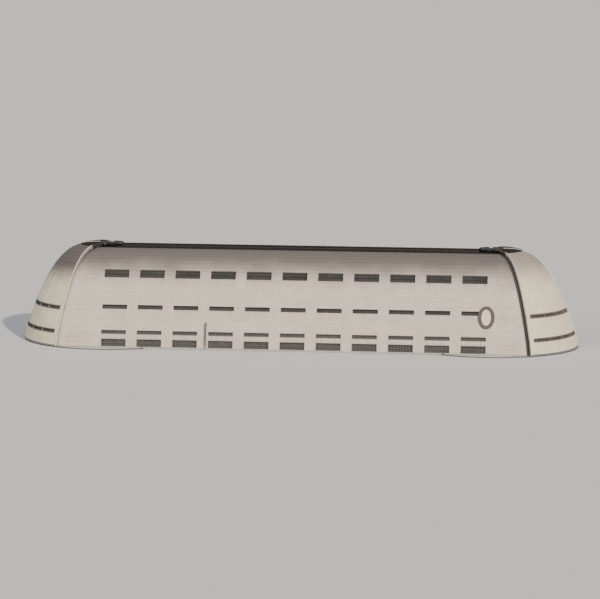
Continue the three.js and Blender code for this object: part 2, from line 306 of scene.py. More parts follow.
@dataclass(frozen=True)
class Bow:
    """The bowed curve that the barrel and the door leaves share.

    A place on it is a station, from 0 at the foot to 1 at the crown, which is packed closer near the foot.

    Attributes:
        half: Half width, or radius, at the foot.
        foot: Height of the foot.
        crown: Height of the top.
        crown_share: Share of the half width that belongs to the flat crown.
        shoulder: Power of the rise in the crown's share.
        flatness: Root that flattens the crown.
        lean: Power of the rise in the leaning wall's share.
    """

    half: float
    foot: float
    crown: float
    crown_share: float = 0.55
    shoulder: float = 6.0
    flatness: float = 5.0
    lean: float = 1.3

    def station(self, height: float) -> float:
        """Station at a height."""
        share = (height - self.foot) / (self.crown - self.foot)
        return 1 - max(0.0, 1 - share) ** (1 / self.flatness)

    def point(self, station: float, proud: float = 0.0) -> Point2:
        """Half width and height at a station.

        Args:
            station: The place on the curve.
            proud: How far the point stands out from the curve.

        Returns:
            The half width and the height.
        """
        step = 1e-4
        width, height = self._on_curve(station)
        ahead = self._on_curve(min(station + step, 1.0))
        behind = self._on_curve(max(station - step, 0.0))
        along = Vector((ahead[0] - behind[0], ahead[1] - behind[1])).normalized()
        return width + along.y * proud, height - along.x * proud

    def _on_curve(self, station: float) -> Point2:
        """Half width and height on the curve itself.

        Args:
            station: The place on the curve.

        Returns:
            The half width and the height.
        """
        share = 1 - (1 - station) ** self.flatness
        top = self.crown_share * max(0.0, 1 - share**self.shoulder) ** (1 / self.flatness)
        width = top + (1 - self.crown_share) * (1 - share**self.lean)
        return self.half * width, self.foot + (self.crown - self.foot) * share

    def height_at(self, width: float) -> float:
        """Height where the curve is as wide as a given half width.

        Args:
            width: The half width.

        Returns:
            The height.
        """
        low, high, halvings = 0.0, 1.0, 60
        for _ in range(halvings):
            middle = (low + high) / 2
            if self._on_curve(middle)[0] > width:
                low = middle
            else:
                high = middle
        return self._on_curve(low)[1]

    def stations(self, low: float, high: float, spacing: float) -> list[float]:
        """Stations between two heights, spaced evenly along the curve.

        Args:
            low: The lowest height.
            high: The highest height.
            spacing: The wanted distance between them.

        Returns:
            The stations, with both ends.
        """
        first, last, count = self.station(low), self.station(high), 2000
        fine = [first + (last - first) * i / count for i in range(count + 1)]
        run = [0.0]
        for a, b in zip(fine, fine[1:]):
            run.append(run[-1] + math.dist(self._on_curve(a), self._on_curve(b)))
        parts = max(1, round(run[-1] / spacing))
        short = 0.999999  # so that rounding can't step past the last of the fine stations
        return [fine[bisect_left(run, run[-1] * i / parts * short)] for i in range(parts + 1)]

    def lapped(self, low: float, high: float, course: float, sunk: float, proud: float) -> list[Point2]:
        """A profile of lapped courses, each of which stands out most along its lower edge.

        Args:
            low: The lowest height.
            high: The highest height.
            course: Height of a course along the curve.
            sunk: How far a course's upper edge stands out from the curve.
            proud: How far its lower edge does.

        Returns:
            Half widths and heights, from the bottom up.
        """
        points = []
        stations = self.stations(low, high, course)
        for a, b in zip(stations, stations[1:]):
            for share in COURSE_SHARES:
                points.append(self.point(a + (b - a) * share, proud + (sunk - proud) * share))
        return points

    def smooth(self, low: float, high: float, spacing: float, proud: float) -> list[Point2]:
        """A plain profile at one distance from the curve.

        Args:
            low: The lowest height.
            high: The highest height.
            spacing: Distance between its points.
            proud: How far it stands out from the curve.

        Returns:
            Half widths and heights, from the bottom up.
        """
        return [self.point(station, proud) for station in self.stations(low, high, spacing)]


@dataclass(frozen=True)
class Plan:
    """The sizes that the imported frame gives.

    Attributes:
        pin: Distance of a ridge pin from the middle, along X.
        barrel: The barrel's outer curve.
        leaf: A door leaf's outer curve.
        slab_top: Height of the floor.
        seam: Plan angle of the barrel's end edge at the pin.
        leaf_end: Plan angle of a leaf's rear edge.
    """

    pin: float
    barrel: Bow
    leaf: Bow
    slab_top: float
    seam: float
    leaf_end: float

    def seam_x(self, y: float) -> float:
        """Distance along X of the barrel's end edge at a distance from the ridge plane."""
        return self.pin + abs(y) / math.tan(self.seam)


def read_plan(frame: dict) -> Plan:
    """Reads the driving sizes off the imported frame.


    Returns:
        The plan.
    """
    joint = next(j for j in frame["joints"] if j["name"] == "door_right_back_swing")
    pin = joint["pos_m"][0]
    wall_low, wall_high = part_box("wall_back")
    leaf_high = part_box("door_leaf_right_back")[1]
    foot = wall_low.z
    leaf_radius = leaf_high.x - pin
    return Plan(
        pin=pin,
        barrel=Bow(wall_high.y, foot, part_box("crown_roof")[1].z),
        leaf=Bow(leaf_radius, foot, leaf_high.z),
        slab_top=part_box("floor_slab")[1].z,
        seam=math.atan2(wall_high.y, wall_high.x - pin),
        leaf_end=math.asin(min(1.0, leaf_high.y / leaf_radius)),
    )


class Nodes:
    """Adds nodes to a tree and links them, left to right."""

    def __init__(self, tree: bpy.types.NodeTree) -> None:
        """Keeps the tree that the nodes go in."""
        self.tree = tree
        self.column = 0

    def feed(self, socket: bpy.types.NodeSocket, value: object) -> None:
        """Links an input to another node's socket, or sets it to a value.

        Args:
            socket: The input.
            value: The socket to link, or the value.
        """
        if isinstance(value, bpy.types.NodeSocket):
            self.tree.links.new(value, socket)
        else:
            socket.default_value = value

    def add(self, kind: str, inputs: dict | None = None, **settings: object) -> bpy.types.Node:
        """Adds a node.

        Args:
            kind: The node's class name.
            inputs: Values or sockets for its inputs, by name or number.
            settings: Values of the node's own properties.

        Returns:
            The node.
        """
        node = self.tree.nodes.new(kind)
        node.location = (180 * self.column, 0)
        self.column += 1
        for key, value in settings.items():
            setattr(node, key, value)
        for key, value in (inputs or {}).items():
            self.feed(node.inputs[key], value)
        return node

    def math(self, operation: str, a: object, b: object = 0.0) -> bpy.types.NodeSocket:
        """Adds a Math node and returns its result."""
        return self.add("ShaderNodeMath", {0: a, 1: b}, operation=operation).outputs[0]

    def mix(self, share: object, a: object, b: object) -> bpy.types.NodeSocket:
        """Adds a colour mix and returns its result."""
        return self.add("ShaderNodeMix", {0: share, 6: a, 7: b}, data_type="RGBA").outputs[2]

    def ramp(
        self,
        value: object,
        start: object,
        end: object,
        low: float = 0.0,
        high: float = 1.0,
        soft: bool = False,
    ) -> bpy.types.NodeSocket:
        """Maps one range of a value to another.

        Args:
            value: The value.
            start: The value that gives low.
            end: The value that gives high.
            low: The result at start.
            high: The result at end.
            soft: Whether it eases in and out between them.

        Returns:
            The result.
        """
        reads = {"Value": value, "From Min": start, "From Max": end, "To Min": low, "To Max": high}
        easing = "SMOOTHSTEP" if soft else "LINEAR"
        return self.add("ShaderNodeMapRange", reads, interpolation_type=easing).outputs["Result"]

    def noise(self, place: object, scale: object, detail: float) -> bpy.types.NodeSocket:
        """Adds a noise texture and returns its value."""
        reads = {"Vector": place, "Scale": scale, "Detail": detail}
        return self.add("ShaderNodeTexNoise", reads).outputs["Fac"]

    def squeezed(self, place: object, factors: Sequence[float]) -> bpy.types.NodeSocket:
        """Multiplies a place by a factor along each axis, and returns the result."""
        return self.add("ShaderNodeVectorMath", {0: place, 1: factors}, operation="MULTIPLY").outputs[0]

    def effect(self, group: bpy.types.NodeTree, place: object, **values: float) -> bpy.types.NodeOutputs:
        """Adds one of the shared groups.

        Args:
            group: The group.
            place: The place on the surface that it reads.
            values: Values of its other inputs, by name.

        Returns:
            Its outputs.
        """
        return self.add("ShaderNodeGroup", {"Vector": place, **values}, node_tree=group).outputs


def new_group(
    name: str, inputs: dict[str, float], outputs: Sequence[str]
) -> tuple[Nodes, bpy.types.NodeOutputs, bpy.types.NodeInputs]:
    """Starts a shader node group that reads a place on the surface.

    Args:
        name: The group's name.
        inputs: Defaults of its other inputs, by name.
        outputs: Its outputs' names.

    Returns:
        The group's node helper, what its input node gives and what its output node takes.
    """
    tree = bpy.data.node_groups.new(name, "ShaderNodeTree")
    tree.interface.new_socket(name="Vector", in_out="INPUT", socket_type="NodeSocketVector")
    for title, value in inputs.items():
        socket = tree.interface.new_socket(name=title, in_out="INPUT", socket_type="NodeSocketFloat")
        socket.default_value = value
    for title in outputs:
        tree.interface.new_socket(name=title, in_out="OUTPUT", socket_type="NodeSocketFloat")
    nodes = Nodes(tree)
    return nodes, nodes.add("NodeGroupInput").outputs, nodes.add("NodeGroupOutput").inputs


class Effects:
    """The shader node groups that the finishes share, each built once."""

    def __init__(self) -> None:
        """Builds the groups."""
        self.sheets = self._sheets()
        self.streaks = self._streaks()
        self.mottle = self._mottle()
        self.stains = self._stains()

    def _sheets(self) -> bpy.types.NodeTree:
        """Separate sheets laid in courses, each of a slightly different tone.

        Returns:
            The group.
        """
        half_joint, stagger = 0.015, 0.37
        nodes, given, out = new_group("sheet_tones", {"Width": 0.6, "Height": 0.28}, ["Tone", "Joint"])
        parts = nodes.add("ShaderNodeSeparateXYZ", {0: given["Vector"]}).outputs
        row = nodes.math("DIVIDE", parts["Z"], given["Height"])
        shift = nodes.math("MULTIPLY", nodes.math("FLOOR", row), stagger)
        along = nodes.math("ADD", nodes.math("DIVIDE", parts["X"], given["Width"]), shift)
        corner = {0: nodes.math("FLOOR", along), 1: nodes.math("FLOOR", row)}
        cell = nodes.add("ShaderNodeCombineXYZ", corner).outputs[0]
        noise = nodes.add("ShaderNodeTexWhiteNoise", {0: cell}, noise_dimensions="3D")
        edge = nodes.math("ABSOLUTE", nodes.math("SUBTRACT", nodes.math("FRACT", along), 0.5))
        nodes.feed(out["Tone"], noise.outputs["Value"])
        nodes.feed(out["Joint"], nodes.math("GREATER_THAN", edge, 0.5 - half_joint))
        return nodes.tree

    def _streaks(self) -> bpy.types.NodeTree:
        """Rain streaks that run down the surface.

        Returns:
            The group.
        """
        nodes, given, out = new_group("rain_streaks", {"Fineness": 3.0, "Amount": 0.5}, ["Mask"])
        tall = nodes.squeezed(given["Vector"], (1.0, 1.0, 0.12))
        runs = nodes.ramp(nodes.noise(tall, given["Fineness"], detail=6.0), start=0.45, end=0.75)
        nodes.feed(out["Mask"], nodes.math("MULTIPLY", runs, given["Amount"]))
        return nodes.tree

    def _mottle(self) -> bpy.types.NodeTree:
        """Soft patches of dust and age, coarse and fine together.

        Returns:
            The group.
        """
        nodes, given, out = new_group("dust_mottle", {"Coarse": 0.6, "Fine": 14.0}, ["Mask", "Grain"])
        nodes.feed(out["Mask"], nodes.noise(given["Vector"], given["Coarse"], detail=4.0))
        nodes.feed(out["Grain"], nodes.noise(given["Vector"], given["Fine"], detail=3.0))
        return nodes.tree

    def _stains(self) -> bpy.types.NodeTree:
        """Dirt that has run down from the sills of a row of windows.

        Returns:
            The group.
        """
        nodes, given, out = new_group("sill_stains", {"Sill": 4.2, "Reach": 0.7, "Bay": 2.2}, ["Mask"])
        parts = nodes.add("ShaderNodeSeparateXYZ", {0: given["Vector"]}).outputs
        below = nodes.math("SUBTRACT", given["Sill"], parts["Z"])
        fall = nodes.ramp(below, start=0.0, end=given["Reach"], low=1.0, high=0.0, soft=True)
        under = nodes.math("MULTIPLY", fall, nodes.math("GREATER_THAN", below, 0.0))
        bays = nodes.math("ADD", nodes.math("DIVIDE", parts["X"], given["Bay"]), 0.5)
        off_middle = nodes.math("ABSOLUTE", nodes.math("SUBTRACT", nodes.math("FRACT", bays), 0.5))
        near = nodes.ramp(off_middle, start=0.3, end=0.38, low=1.0, high=0.0)
        tall = nodes.squeezed(given["Vector"], (1.0, 0.3, 0.06))
        drips = nodes.ramp(nodes.noise(tall, scale=11.0, detail=3.0), start=0.4, end=0.7)
        nodes.feed(out["Mask"], nodes.math("MULTIPLY", nodes.math("MULTIPLY", under, near), drips))
        return nodes.tree


def shade(colour: Sequence[float], factor: float) -> tuple[float, float, float, float]:
    """A colour made lighter or darker, with full alpha."""
    return tuple(min(1.0, c * factor) for c in colour[:3]) + (1.0,)


def blank_material(
    name: str,
) -> tuple[bpy.types.Material, Nodes, bpy.types.NodeInputs, bpy.types.NodeSocket]:
    """Starts a material with a Principled shader and its output.

    Args:
        name: The material's name.

    Returns:
        The material, its node helper, what its shader takes and the place on the surface.
    """
    material = bpy.data.materials.new(name)
    material.use_nodes = True
    material.node_tree.nodes.clear()
    nodes = Nodes(material.node_tree)
    shader = nodes.add("ShaderNodeBsdfPrincipled")
    nodes.add("ShaderNodeOutputMaterial", {"Surface": shader.outputs[0]})
    return material, nodes, shader.inputs, nodes.add("ShaderNodeTexCoord").outputs["Object"]


@dataclass(frozen=True)
class SheetMetal:
    """Painted sheet metal, in courses of sheets with rain streaks and dust.

    Attributes:
        name: The material's name.
        colour: Linear base colour.
        pattern: The relief of the sheets.
        tone_spread: How much the sheets differ.
        streaks: Strength of the rain streaks.
        roughness: Mean roughness.
        pitch: Distance between corrugations.
        sills: Heights of the window sills that dirt has run down from.
        crown_shade: Painted shade: colour that the sheets turn to towards the top of the roof, where they
            face away from the low key light, or None.
        fade: Heights between which they turn to it.
        blotch: How far up and down patches shift those heights, in all.
        patch_shade: Shade of the dusty patches.
        joint_shade: Shade of the joints between sheets.
        joint_share: Strength of the joints.
        streak_shade: Shade of the rain streaks.
        stain_shade: Shade of the stains under the sills.
        stain_share: Strength of the stains.
    """

    name: str
    colour: Colour
    pattern: Pattern = Pattern.CORRUGATED
    tone_spread: float = 0.05
    streaks: float = 0.35
    roughness: float = 0.55
    pitch: float = 0.03
    sills: tuple[float, ...] = ()
    crown_shade: Colour | None = None
    fade: tuple[float, float] = (3.9, 5.6)
    blotch: float = 0.8
    patch_shade: float = 0.86
    joint_shade: float = 0.6
    joint_share: float = 0.25
    streak_shade: float = 0.72
    stain_shade: float = 0.45
    stain_share: float = 0.4

    def build(self, effects: Effects) -> bpy.types.Material:
        """Builds the material.

        Args:
            effects: The shared node groups.

        Returns:
            The material.
        """
        material, nodes, shader, place = blank_material(self.name)
        sheets = nodes.effect(effects.sheets, place)
        streaks = nodes.effect(effects.streaks, place, Amount=self.streaks)
        mottle = nodes.effect(effects.mottle, place)
        low, high = shade(self.colour, 1 - self.tone_spread), shade(self.colour, 1 + self.tone_spread)
        toned = nodes.mix(sheets["Tone"], low, high)
        patches = nodes.ramp(mottle["Mask"], start=0.35, end=0.7, high=0.35)
        aged = nodes.mix(patches, toned, shade(self.colour, self.patch_shade))
        joints = nodes.math("MULTIPLY", sheets["Joint"], self.joint_share)
        jointed = nodes.mix(joints, aged, shade(self.colour, self.joint_shade))
        wear_and_shade = nodes.mix(streaks["Mask"], jointed, shade(self.colour, self.streak_shade))
        for sill in self.sills:
            stains = nodes.effect(effects.stains, place, Sill=sill)
            share = nodes.math("MULTIPLY", stains["Mask"], self.stain_share)
            wear_and_shade = nodes.mix(share, wear_and_shade, shade(self.colour, self.stain_shade))
        # Painted shade: towards the top of the roof the colour turns darker, standing in for the shade on
        # surfaces that face away from the low key light; the dust mottle shifts where it starts.
        if self.crown_shade:
            height = nodes.add("ShaderNodeSeparateXYZ", {0: place}).outputs["Z"]
            blotched = nodes.math("ADD", height, nodes.math("MULTIPLY", mottle["Mask"], self.blotch))
            start, end = (level + self.blotch / 2 for level in self.fade)
            wear_and_shade = nodes.mix(nodes.ramp(blotched, start, end, soft=True), wear_and_shade, shade(self.crown_shade, 1.0))
        nodes.feed(shader["Base Color"], wear_and_shade)
        rough = nodes.ramp(mottle["Grain"], 0.0, 1.0, self.roughness - 0.1, self.roughness + 0.15)
        nodes.feed(shader["Roughness"], rough)
        height = nodes.math("MULTIPLY", mottle["Grain"], 0.15)
        if self.pattern is Pattern.CORRUGATED:
            reads = {"Vector": place, "Scale": math.tau / self.pitch / WAVE_TURN}
            wave = nodes.add("ShaderNodeTexWave", reads, bands_direction="X")
            height = nodes.math("ADD", height, wave.outputs["Fac"])
        bump = nodes.add("ShaderNodeBump", {"Height": height, "Strength": 0.25, "Distance": 0.004})
        nodes.feed(shader["Normal"], bump.outputs[0])
        return material


@dataclass(frozen=True)
class Mineral:
    """A matt mineral or bituminous finish, such as concrete or roofing felt.

    Attributes:
        name: The material's name.
        colour: Linear base colour.
        spread: How far patches go lighter and darker.
        roughness: Mean roughness.
        joints: Distance between joints across the surface, or 0 for none.
        joint_width: Width of a joint, as a share of that distance.
        grain: Height of the bump.
        gloss: The shader's specular level.
    """

    name: str
    colour: Colour
    spread: float = 0.25
    roughness: float = 0.85
    joints: float = 0.0
    joint_width: float = 0.03
    grain: float = 0.003
    gloss: float = 0.5

    def build(self, effects: Effects) -> bpy.types.Material:
        """Builds the material.

        Args:
            effects: The shared node groups.

        Returns:
            The material.
        """
        material, nodes, shader, place = blank_material(self.name)
        mottle = nodes.effect(effects.mottle, place)
        dark, light = shade(self.colour, 1 - self.spread), shade(self.colour, 1 + self.spread)
        base = nodes.mix(mottle["Mask"], dark, light)
        speckled = nodes.mix(nodes.math("MULTIPLY", mottle["Grain"], 0.3), base, shade(self.colour, 0.7))
        height = mottle["Grain"]
        if self.joints:
            parts = nodes.add("ShaderNodeSeparateXYZ", {0: place}).outputs
            run = nodes.math("FRACT", nodes.math("DIVIDE", parts["X"], self.joints))
            line = nodes.math("LESS_THAN", run, self.joint_width)
            speckled = nodes.mix(nodes.math("MULTIPLY", line, 0.6), speckled, shade(self.colour, 0.5))
            height = nodes.math("SUBTRACT", height, line)
        nodes.feed(shader["Base Color"], speckled)
        roughest = min(1.0, self.roughness + 0.1)
        rough = nodes.ramp(mottle["Grain"], 0.0, 1.0, self.roughness - 0.1, roughest)
        nodes.feed(shader["Roughness"], rough)
        shader["Specular IOR Level"].default_value = self.gloss
        bump = nodes.add("ShaderNodeBump", {"Height": height, "Strength": 0.5, "Distance": self.grain})
        nodes.feed(shader["Normal"], bump.outputs[0])
        return material


@dataclass(frozen=True)
class Glazing:
    """Dark wired window glass, pane by pane, with patches of dust.

    Attributes:
        name: The material's name.
        colour: Linear base colour.
        dust: Colour of the dust.
        dustiness: How much dust lies on it.
        pane: Width of a pane.
        roughness: Roughness of the clean glass.
    """

    name: str
    colour: Colour
    dust: Colour = (0.32, 0.3, 0.27)
    dustiness: float = 0.3
    pane: float = 0.12
    roughness: float = 0.14

    def build(self, effects: Effects) -> bpy.types.Material:
        """Builds the material.

        Args:
            effects: The shared node groups.

        Returns:
            The material.
        """
        material, nodes, shader, place = blank_material(self.name)
        sheets = nodes.effect(effects.sheets, place, Width=self.pane, Height=self.pane * 2)
        mottle = nodes.effect(effects.mottle, place)
        panes = nodes.mix(sheets["Tone"], shade(self.colour, 0.7), shade(self.colour, 1.5))
        dust = nodes.math("MULTIPLY", mottle["Mask"], self.dustiness)
        nodes.feed(shader["Base Color"], nodes.mix(dust, panes, shade(self.dust, 1.0)))
        rough = nodes.ramp(mottle["Grain"], 0.0, 1.0, self.roughness, self.roughness + 0.25)
        nodes.feed(shader["Roughness"], rough)
        return material


@dataclass(frozen=True)
class Studio:
    """The pale floor, the soft lights and the camera.

    Attributes:
        azimuth: Degrees that the camera stands to the right of straight ahead.
        elevation: Degrees that it looks down.
        roll: Degrees that it leans, so that the right end sits lower.
        distance: Metres from the point that it looks at.
        lens: Focal length in millimetres.
        target: The point that it looks at.
    """

    azimuth: float = 6.0
    elevation: float = 7.6
    roll: float = 0.3
    distance: float = 180.0
    lens: float = 173.6
    target: tuple[float, float, float] = (0.0, 0.0, 2.6)

    def build(self, effects: Effects) -> None:
        """Sets up the floor, the world, the lights and the camera.

        Args:
            effects: The shared node groups.
        """
        bpy.ops.mesh.primitive_plane_add(size=2400, location=(0, 0, -0.002))
        floor = named("studio_floor")
        paper = Mineral("studio_floor", (0.7, 0.69, 0.67), spread=0.02, roughness=0.9, grain=0.0005)
        floor.data.materials.append(paper.build(effects))
        world = bpy.data.worlds.new("studio")
        bpy.context.scene.world = world
        world.use_nodes = True
        background = world.node_tree.nodes["Background"]
        background.inputs["Color"].default_value = (0.86, 0.9, 1.0, 1.0)
        background.inputs["Strength"].default_value = 0.48
        self._sun("key", azimuth=36, elevation=30, strength=3.7, spread=1.2, colour=(1.0, 0.92, 0.81))
        self._sun("fill", azimuth=-40, elevation=30, strength=0.9, spread=50, colour=(0.97, 0.96, 0.98))
        self._camera()

    def _sun(
        self,
        name: str,
        azimuth: float,
        elevation: float,
        strength: float,
        spread: float,
        colour: Sequence[float],
    ) -> None:
        """Adds a sun that shines from a direction.

        Args:
            name: The light's name.
            azimuth: Degrees from straight ahead of the front, towards +X.
            elevation: Degrees above the floor.
            strength: Its strength.
            spread: Its angle in degrees, for soft shadows.
            colour: Its colour.
        """
        bpy.ops.object.light_add(type="SUN", location=(0, 0, 30))
        sun = bpy.context.active_object
        sun.name = f"studio_{name}"
        sun.data.energy = strength
        sun.data.angle = math.radians(spread)
        sun.data.color = colour
        sun.rotation_euler = self._back(azimuth, elevation).to_track_quat("Z", "Y").to_euler()

    def _camera(self) -> None:
        """Adds the camera and makes it the scene's."""
        back = self._back(self.azimuth, self.elevation)
        bpy.ops.object.camera_add(location=Vector(self.target) + back * self.distance)
        camera = bpy.context.active_object
        camera.name = "studio_camera"
        lean = Matrix.Rotation(math.radians(self.roll), 3, "Z")
        camera.rotation_euler = (back.to_track_quat("Z", "Y").to_matrix() @ lean).to_euler()
        camera.data.lens = self.lens
        camera.data.sensor_width = 36.0
        camera.data.clip_end = 2000.0
        bpy.context.scene.camera = camera

    @staticmethod
    def _back(azimuth: float, elevation: float) -> Vector:
        """Unit vector towards a place that stands at an azimuth and an elevation."""
        a, e = math.radians(azimuth), math.radians(elevation)
        return Vector((math.sin(a) * math.cos(e), -math.cos(a) * math.cos(e), math.sin(e)))


@dataclass(frozen=True)
class Palette:
    """Every finish of the hangar, each named for the pieces that it is on."""

    wall: bpy.types.Material
    door: bpy.types.Material
    shaded_door: bpy.types.Material
    jamb: bpy.types.Material
    lining: bpy.types.Material
    felt: bpy.types.Material
    cap: bpy.types.Material
    cowl: bpy.types.Material
    glass_upper: bpy.types.Material
    glass: bpy.types.Material
    concrete: bpy.types.Material
    steel: bpy.types.Material
    frame: bpy.types.Material
    dark_frame: bpy.types.Material
    emblem: bpy.types.Material
    dark_steel: bpy.types.Material
    rubber: bpy.types.Material
    stop: bpy.types.Material
    rail: bpy.types.Material

    @classmethod
    def mixed(cls, effects: Effects) -> Self:
        """Builds the materials.

        Args:
            effects: The shared node groups.

        Returns:
            The palette.
        """
        plain = Pattern.PLAIN
        finishes = {
            "wall": SheetMetal(
                "cream_wall_sheet",
                (0.605, 0.522, 0.435),
                sills=(0.84, 2.33, 4.17),
                # Painted shade: the wall darkens towards the roof's top, where it faces away from the low
                # key light.
                crown_shade=(0.145, 0.124, 0.11),
                fade=(3.6, 5.5),
            ),
            "door": SheetMetal(
                "cream_door_sheet",
                (0.74, 0.655, 0.475),
                tone_spread=0.04,
                # Painted shade: the leaf's upper part darkens, where it faces away from the low key light.
                crown_shade=(0.33, 0.285, 0.235),
                fade=(3.8, 5.6),
            ),
            # Painted shade: a copy of the door sheet that darkens more, and from lower down, for the left
            # leaves, whose side is turned away from the key light.
            "shaded_door": SheetMetal(
                "shaded_door_sheet",
                (0.74, 0.655, 0.475),
                tone_spread=0.05,
                crown_shade=(0.12, 0.1, 0.088),
                fade=(3.4, 4.9),
            ),
            "jamb": SheetMetal("pale_jamb_paint", (0.72, 0.67, 0.56), plain, tone_spread=0.02),
            # Grey inner lining of the shells; where it shows in the openings' reveals, its darkness also
            # stands in for the shade there.
            "lining": SheetMetal("grey_lining_sheet", (0.28, 0.27, 0.25), tone_spread=0.09, streaks=0.5),
            "felt": Mineral("roofing_felt", (0.026, 0.021, 0.019), joints=0.6, gloss=0.1),
            "cap": SheetMetal("dark_cap_sheet", (0.04, 0.035, 0.032), plain, roughness=0.75),
            "cowl": SheetMetal("pale_cowl_sheet", (0.55, 0.53, 0.47), plain),
            "glass_upper": Glazing("upper_glass", (0.022, 0.02, 0.018), dustiness=0.18),
            "glass": Glazing("lower_glass", (0.038, 0.035, 0.031), dustiness=0.28),
            "concrete": Mineral("cast_concrete", (0.42, 0.4, 0.36), joints=2.24),
            "steel": SheetMetal("painted_steel", (0.2, 0.205, 0.2), plain, tone_spread=0.03, streaks=0.3),
            "frame": SheetMetal("window_frame_paint", (0.12, 0.11, 0.095), plain, tone_spread=0.03),
            "dark_frame": SheetMetal("dark_sash_paint", (0.035, 0.03, 0.026), plain, tone_spread=0.03),
            "emblem": SheetMetal("medallion_paint", (0.08, 0.07, 0.058), plain, tone_spread=0.03),
            "dark_steel": SheetMetal("dark_ladder_steel", (0.07, 0.068, 0.065), plain, roughness=0.5),
            # Dark rubber for the seam strips, which paint the shade and the shadow beside the leaves' edges.
            "rubber": Mineral("seal_rubber", (0.07, 0.057, 0.052), spread=0.15, grain=0.001, gloss=0.15),
            "stop": SheetMetal("buffer_stop_paint", (0.12, 0.1, 0.08), plain, streaks=0.4),
            "rail": SheetMetal("rolled_rail_steel", (0.13, 0.122, 0.112), plain, roughness=0.45),
        }
        return cls(**{name: finish.build(effects) for name, finish in finishes.items()})


def edge_chain(name: str, points: Sequence[Vector]) -> bpy.types.Object:
    """Draws a chain of edges: a plane's corner, extruded from point to point.

    Args:
        name: The object's name.
        points: The chain's points.

    Returns:
        The object, a chain of edges with its first vertex first.
    """
    deselect()
    bpy.ops.mesh.primitive_plane_add(size=1, location=(0, 0, 0))
    piece = named(name)
    with editing(piece) as mesh:
        corners = list(mesh.verts)
        for corner in corners[1:]:
            corner.select = True
        bmesh.update_edit_mesh(piece.data)
        bpy.ops.mesh.delete(type="VERT")
        bpy.ops.mesh.select_all(action="SELECT")
        corner = next(iter(bmesh.from_edit_mesh(piece.data).verts)).co.copy()
        bpy.ops.transform.translate(value=Vector(points[0]) - corner)
        for a, b in zip(points, points[1:]):
            bpy.ops.mesh.extrude_vertices_move(TRANSFORM_OT_translate={"value": Vector(b) - Vector(a)})
    return piece


def tube(chain: bpy.types.Object, radius: float, rounds: int = 1) -> bpy.types.Object:
    """Turns a chain of edges into a closed tube.

    Args:
        chain: The chain.
        radius: The tube's radius.
        rounds: How finely it is rounded.

    Returns:
        The tube.
    """
    activate(chain)
    bpy.ops.object.convert(target="CURVE")
    chain.data.bevel_depth = radius
    chain.data.bevel_resolution = rounds
    chain.data.use_fill_caps = True
    bpy.ops.object.convert(target="MESH")
    return chain


def bowed_sheet(
    name: str, profile: Sequence[Point2], reach: Callable[[float], float], side: Side, middle: float = 0.0
) -> bpy.types.Object:
    """Draws a sheet that follows a bowed profile on one side and runs along X.

    Args:
        name: The object's name.
        profile: Half widths and heights, from the bottom up.
        reach: Half length of the sheet at a half width.
        side: The side of the hangar.
        middle: The sheet's middle along X.

    Returns:
        The open sheet, with its faces outwards.
    """
    y, z = profile[0]
    half = reach(y)
    piece = edge_chain(name, [(middle - half, side.value * y, z), (middle + half, side.value * y, z)])
    with editing(piece, whole=True):
        for (y, z), (next_y, next_z) in zip(profile, profile[1:]):
            rise = (0, side.value * (next_y - y), next_z - z)
            bpy.ops.mesh.extrude_edges_move(TRANSFORM_OT_translate={"value": rise})
            ratio = reach(next_y) / reach(y)
            if abs(ratio - 1) > 1e-6:
                bpy.ops.transform.resize(
                    value=(ratio, 1, 1), center_override=(middle, side.value * next_y, next_z)
                )
    face_out(piece)
    return piece


def spun_sheet(
    name: str, plan: Plan, profile: Sequence[Point2], first: float, last: float, step: float
) -> bpy.types.Object:
    """Draws a sheet spun about the right end's pin, in the quarter towards the back.

    Args:
        name: The object's name.
        plan: The hangar's sizes.
        profile: Radii and heights, from the bottom up.
        first: Plan angle in radians where the sheet starts.
        last: Plan angle where it ends.
        step: The wanted angle between its sections.

    Returns:
        The open sheet, with its faces outwards.
    """
    chain = [(plan.pin + r * math.cos(first), r * math.sin(first), z) for r, z in profile]
    piece = edge_chain(name, chain)
    steps = max(1, round((last - first) / step))
    with editing(piece, whole=True):
        bpy.ops.mesh.spin(
            steps=steps, angle=first - last, center=(plan.pin, 0, 0), axis=(0, 0, 1), use_auto_merge=False
        )
    face_out(piece, plan.pin)
    return piece


def sweep(piece: bpy.types.Object, moves: Sequence[Vector]) -> None:
    """Extrudes a chain of edges along one move after another.

    Args:
        piece: The chain.
        moves: The moves.
    """
    with editing(piece, whole=True):
        for move in moves:
            bpy.ops.mesh.extrude_edges_move(TRANSFORM_OT_translate={"value": move})


def cut(piece: bpy.types.Object, planes: Sequence[tuple[Sequence[float], Sequence[float]]]) -> None:
    """Cuts new edges through a piece along planes.

    Args:
        piece: The mesh object.
        planes: A point and a normal for each plane.
    """
    with editing(piece):
        for point, normal in planes:
            bpy.ops.mesh.select_all(action="SELECT")
            bpy.ops.mesh.bisect(plane_co=point, plane_no=normal)


def remove_faces(piece: bpy.types.Object, test: Callable[[Vector], bool]) -> None:
    """Deletes the faces whose middle passes a test.

    Args:
        piece: The mesh object.
        test: Takes a face's middle.
    """
    with editing(piece) as mesh:
        bpy.ops.mesh.select_mode(type="FACE")
        for face in mesh.faces:
            face.select = test(face.calc_center_median())
        bmesh.update_edit_mesh(piece.data)
        if any(face.select for face in mesh.faces):
            bpy.ops.mesh.delete(type="FACE")


def open_faces(piece: bpy.types.Object, width: float) -> None:
    """Leaves only a frame of each face of a sheet.

    Args:
        piece: The sheet.
        width: Width of the frame.
    """
    with editing(piece, whole=True):
        bpy.ops.mesh.inset(thickness=width, use_individual=True)
        bpy.ops.mesh.delete(type="FACE")


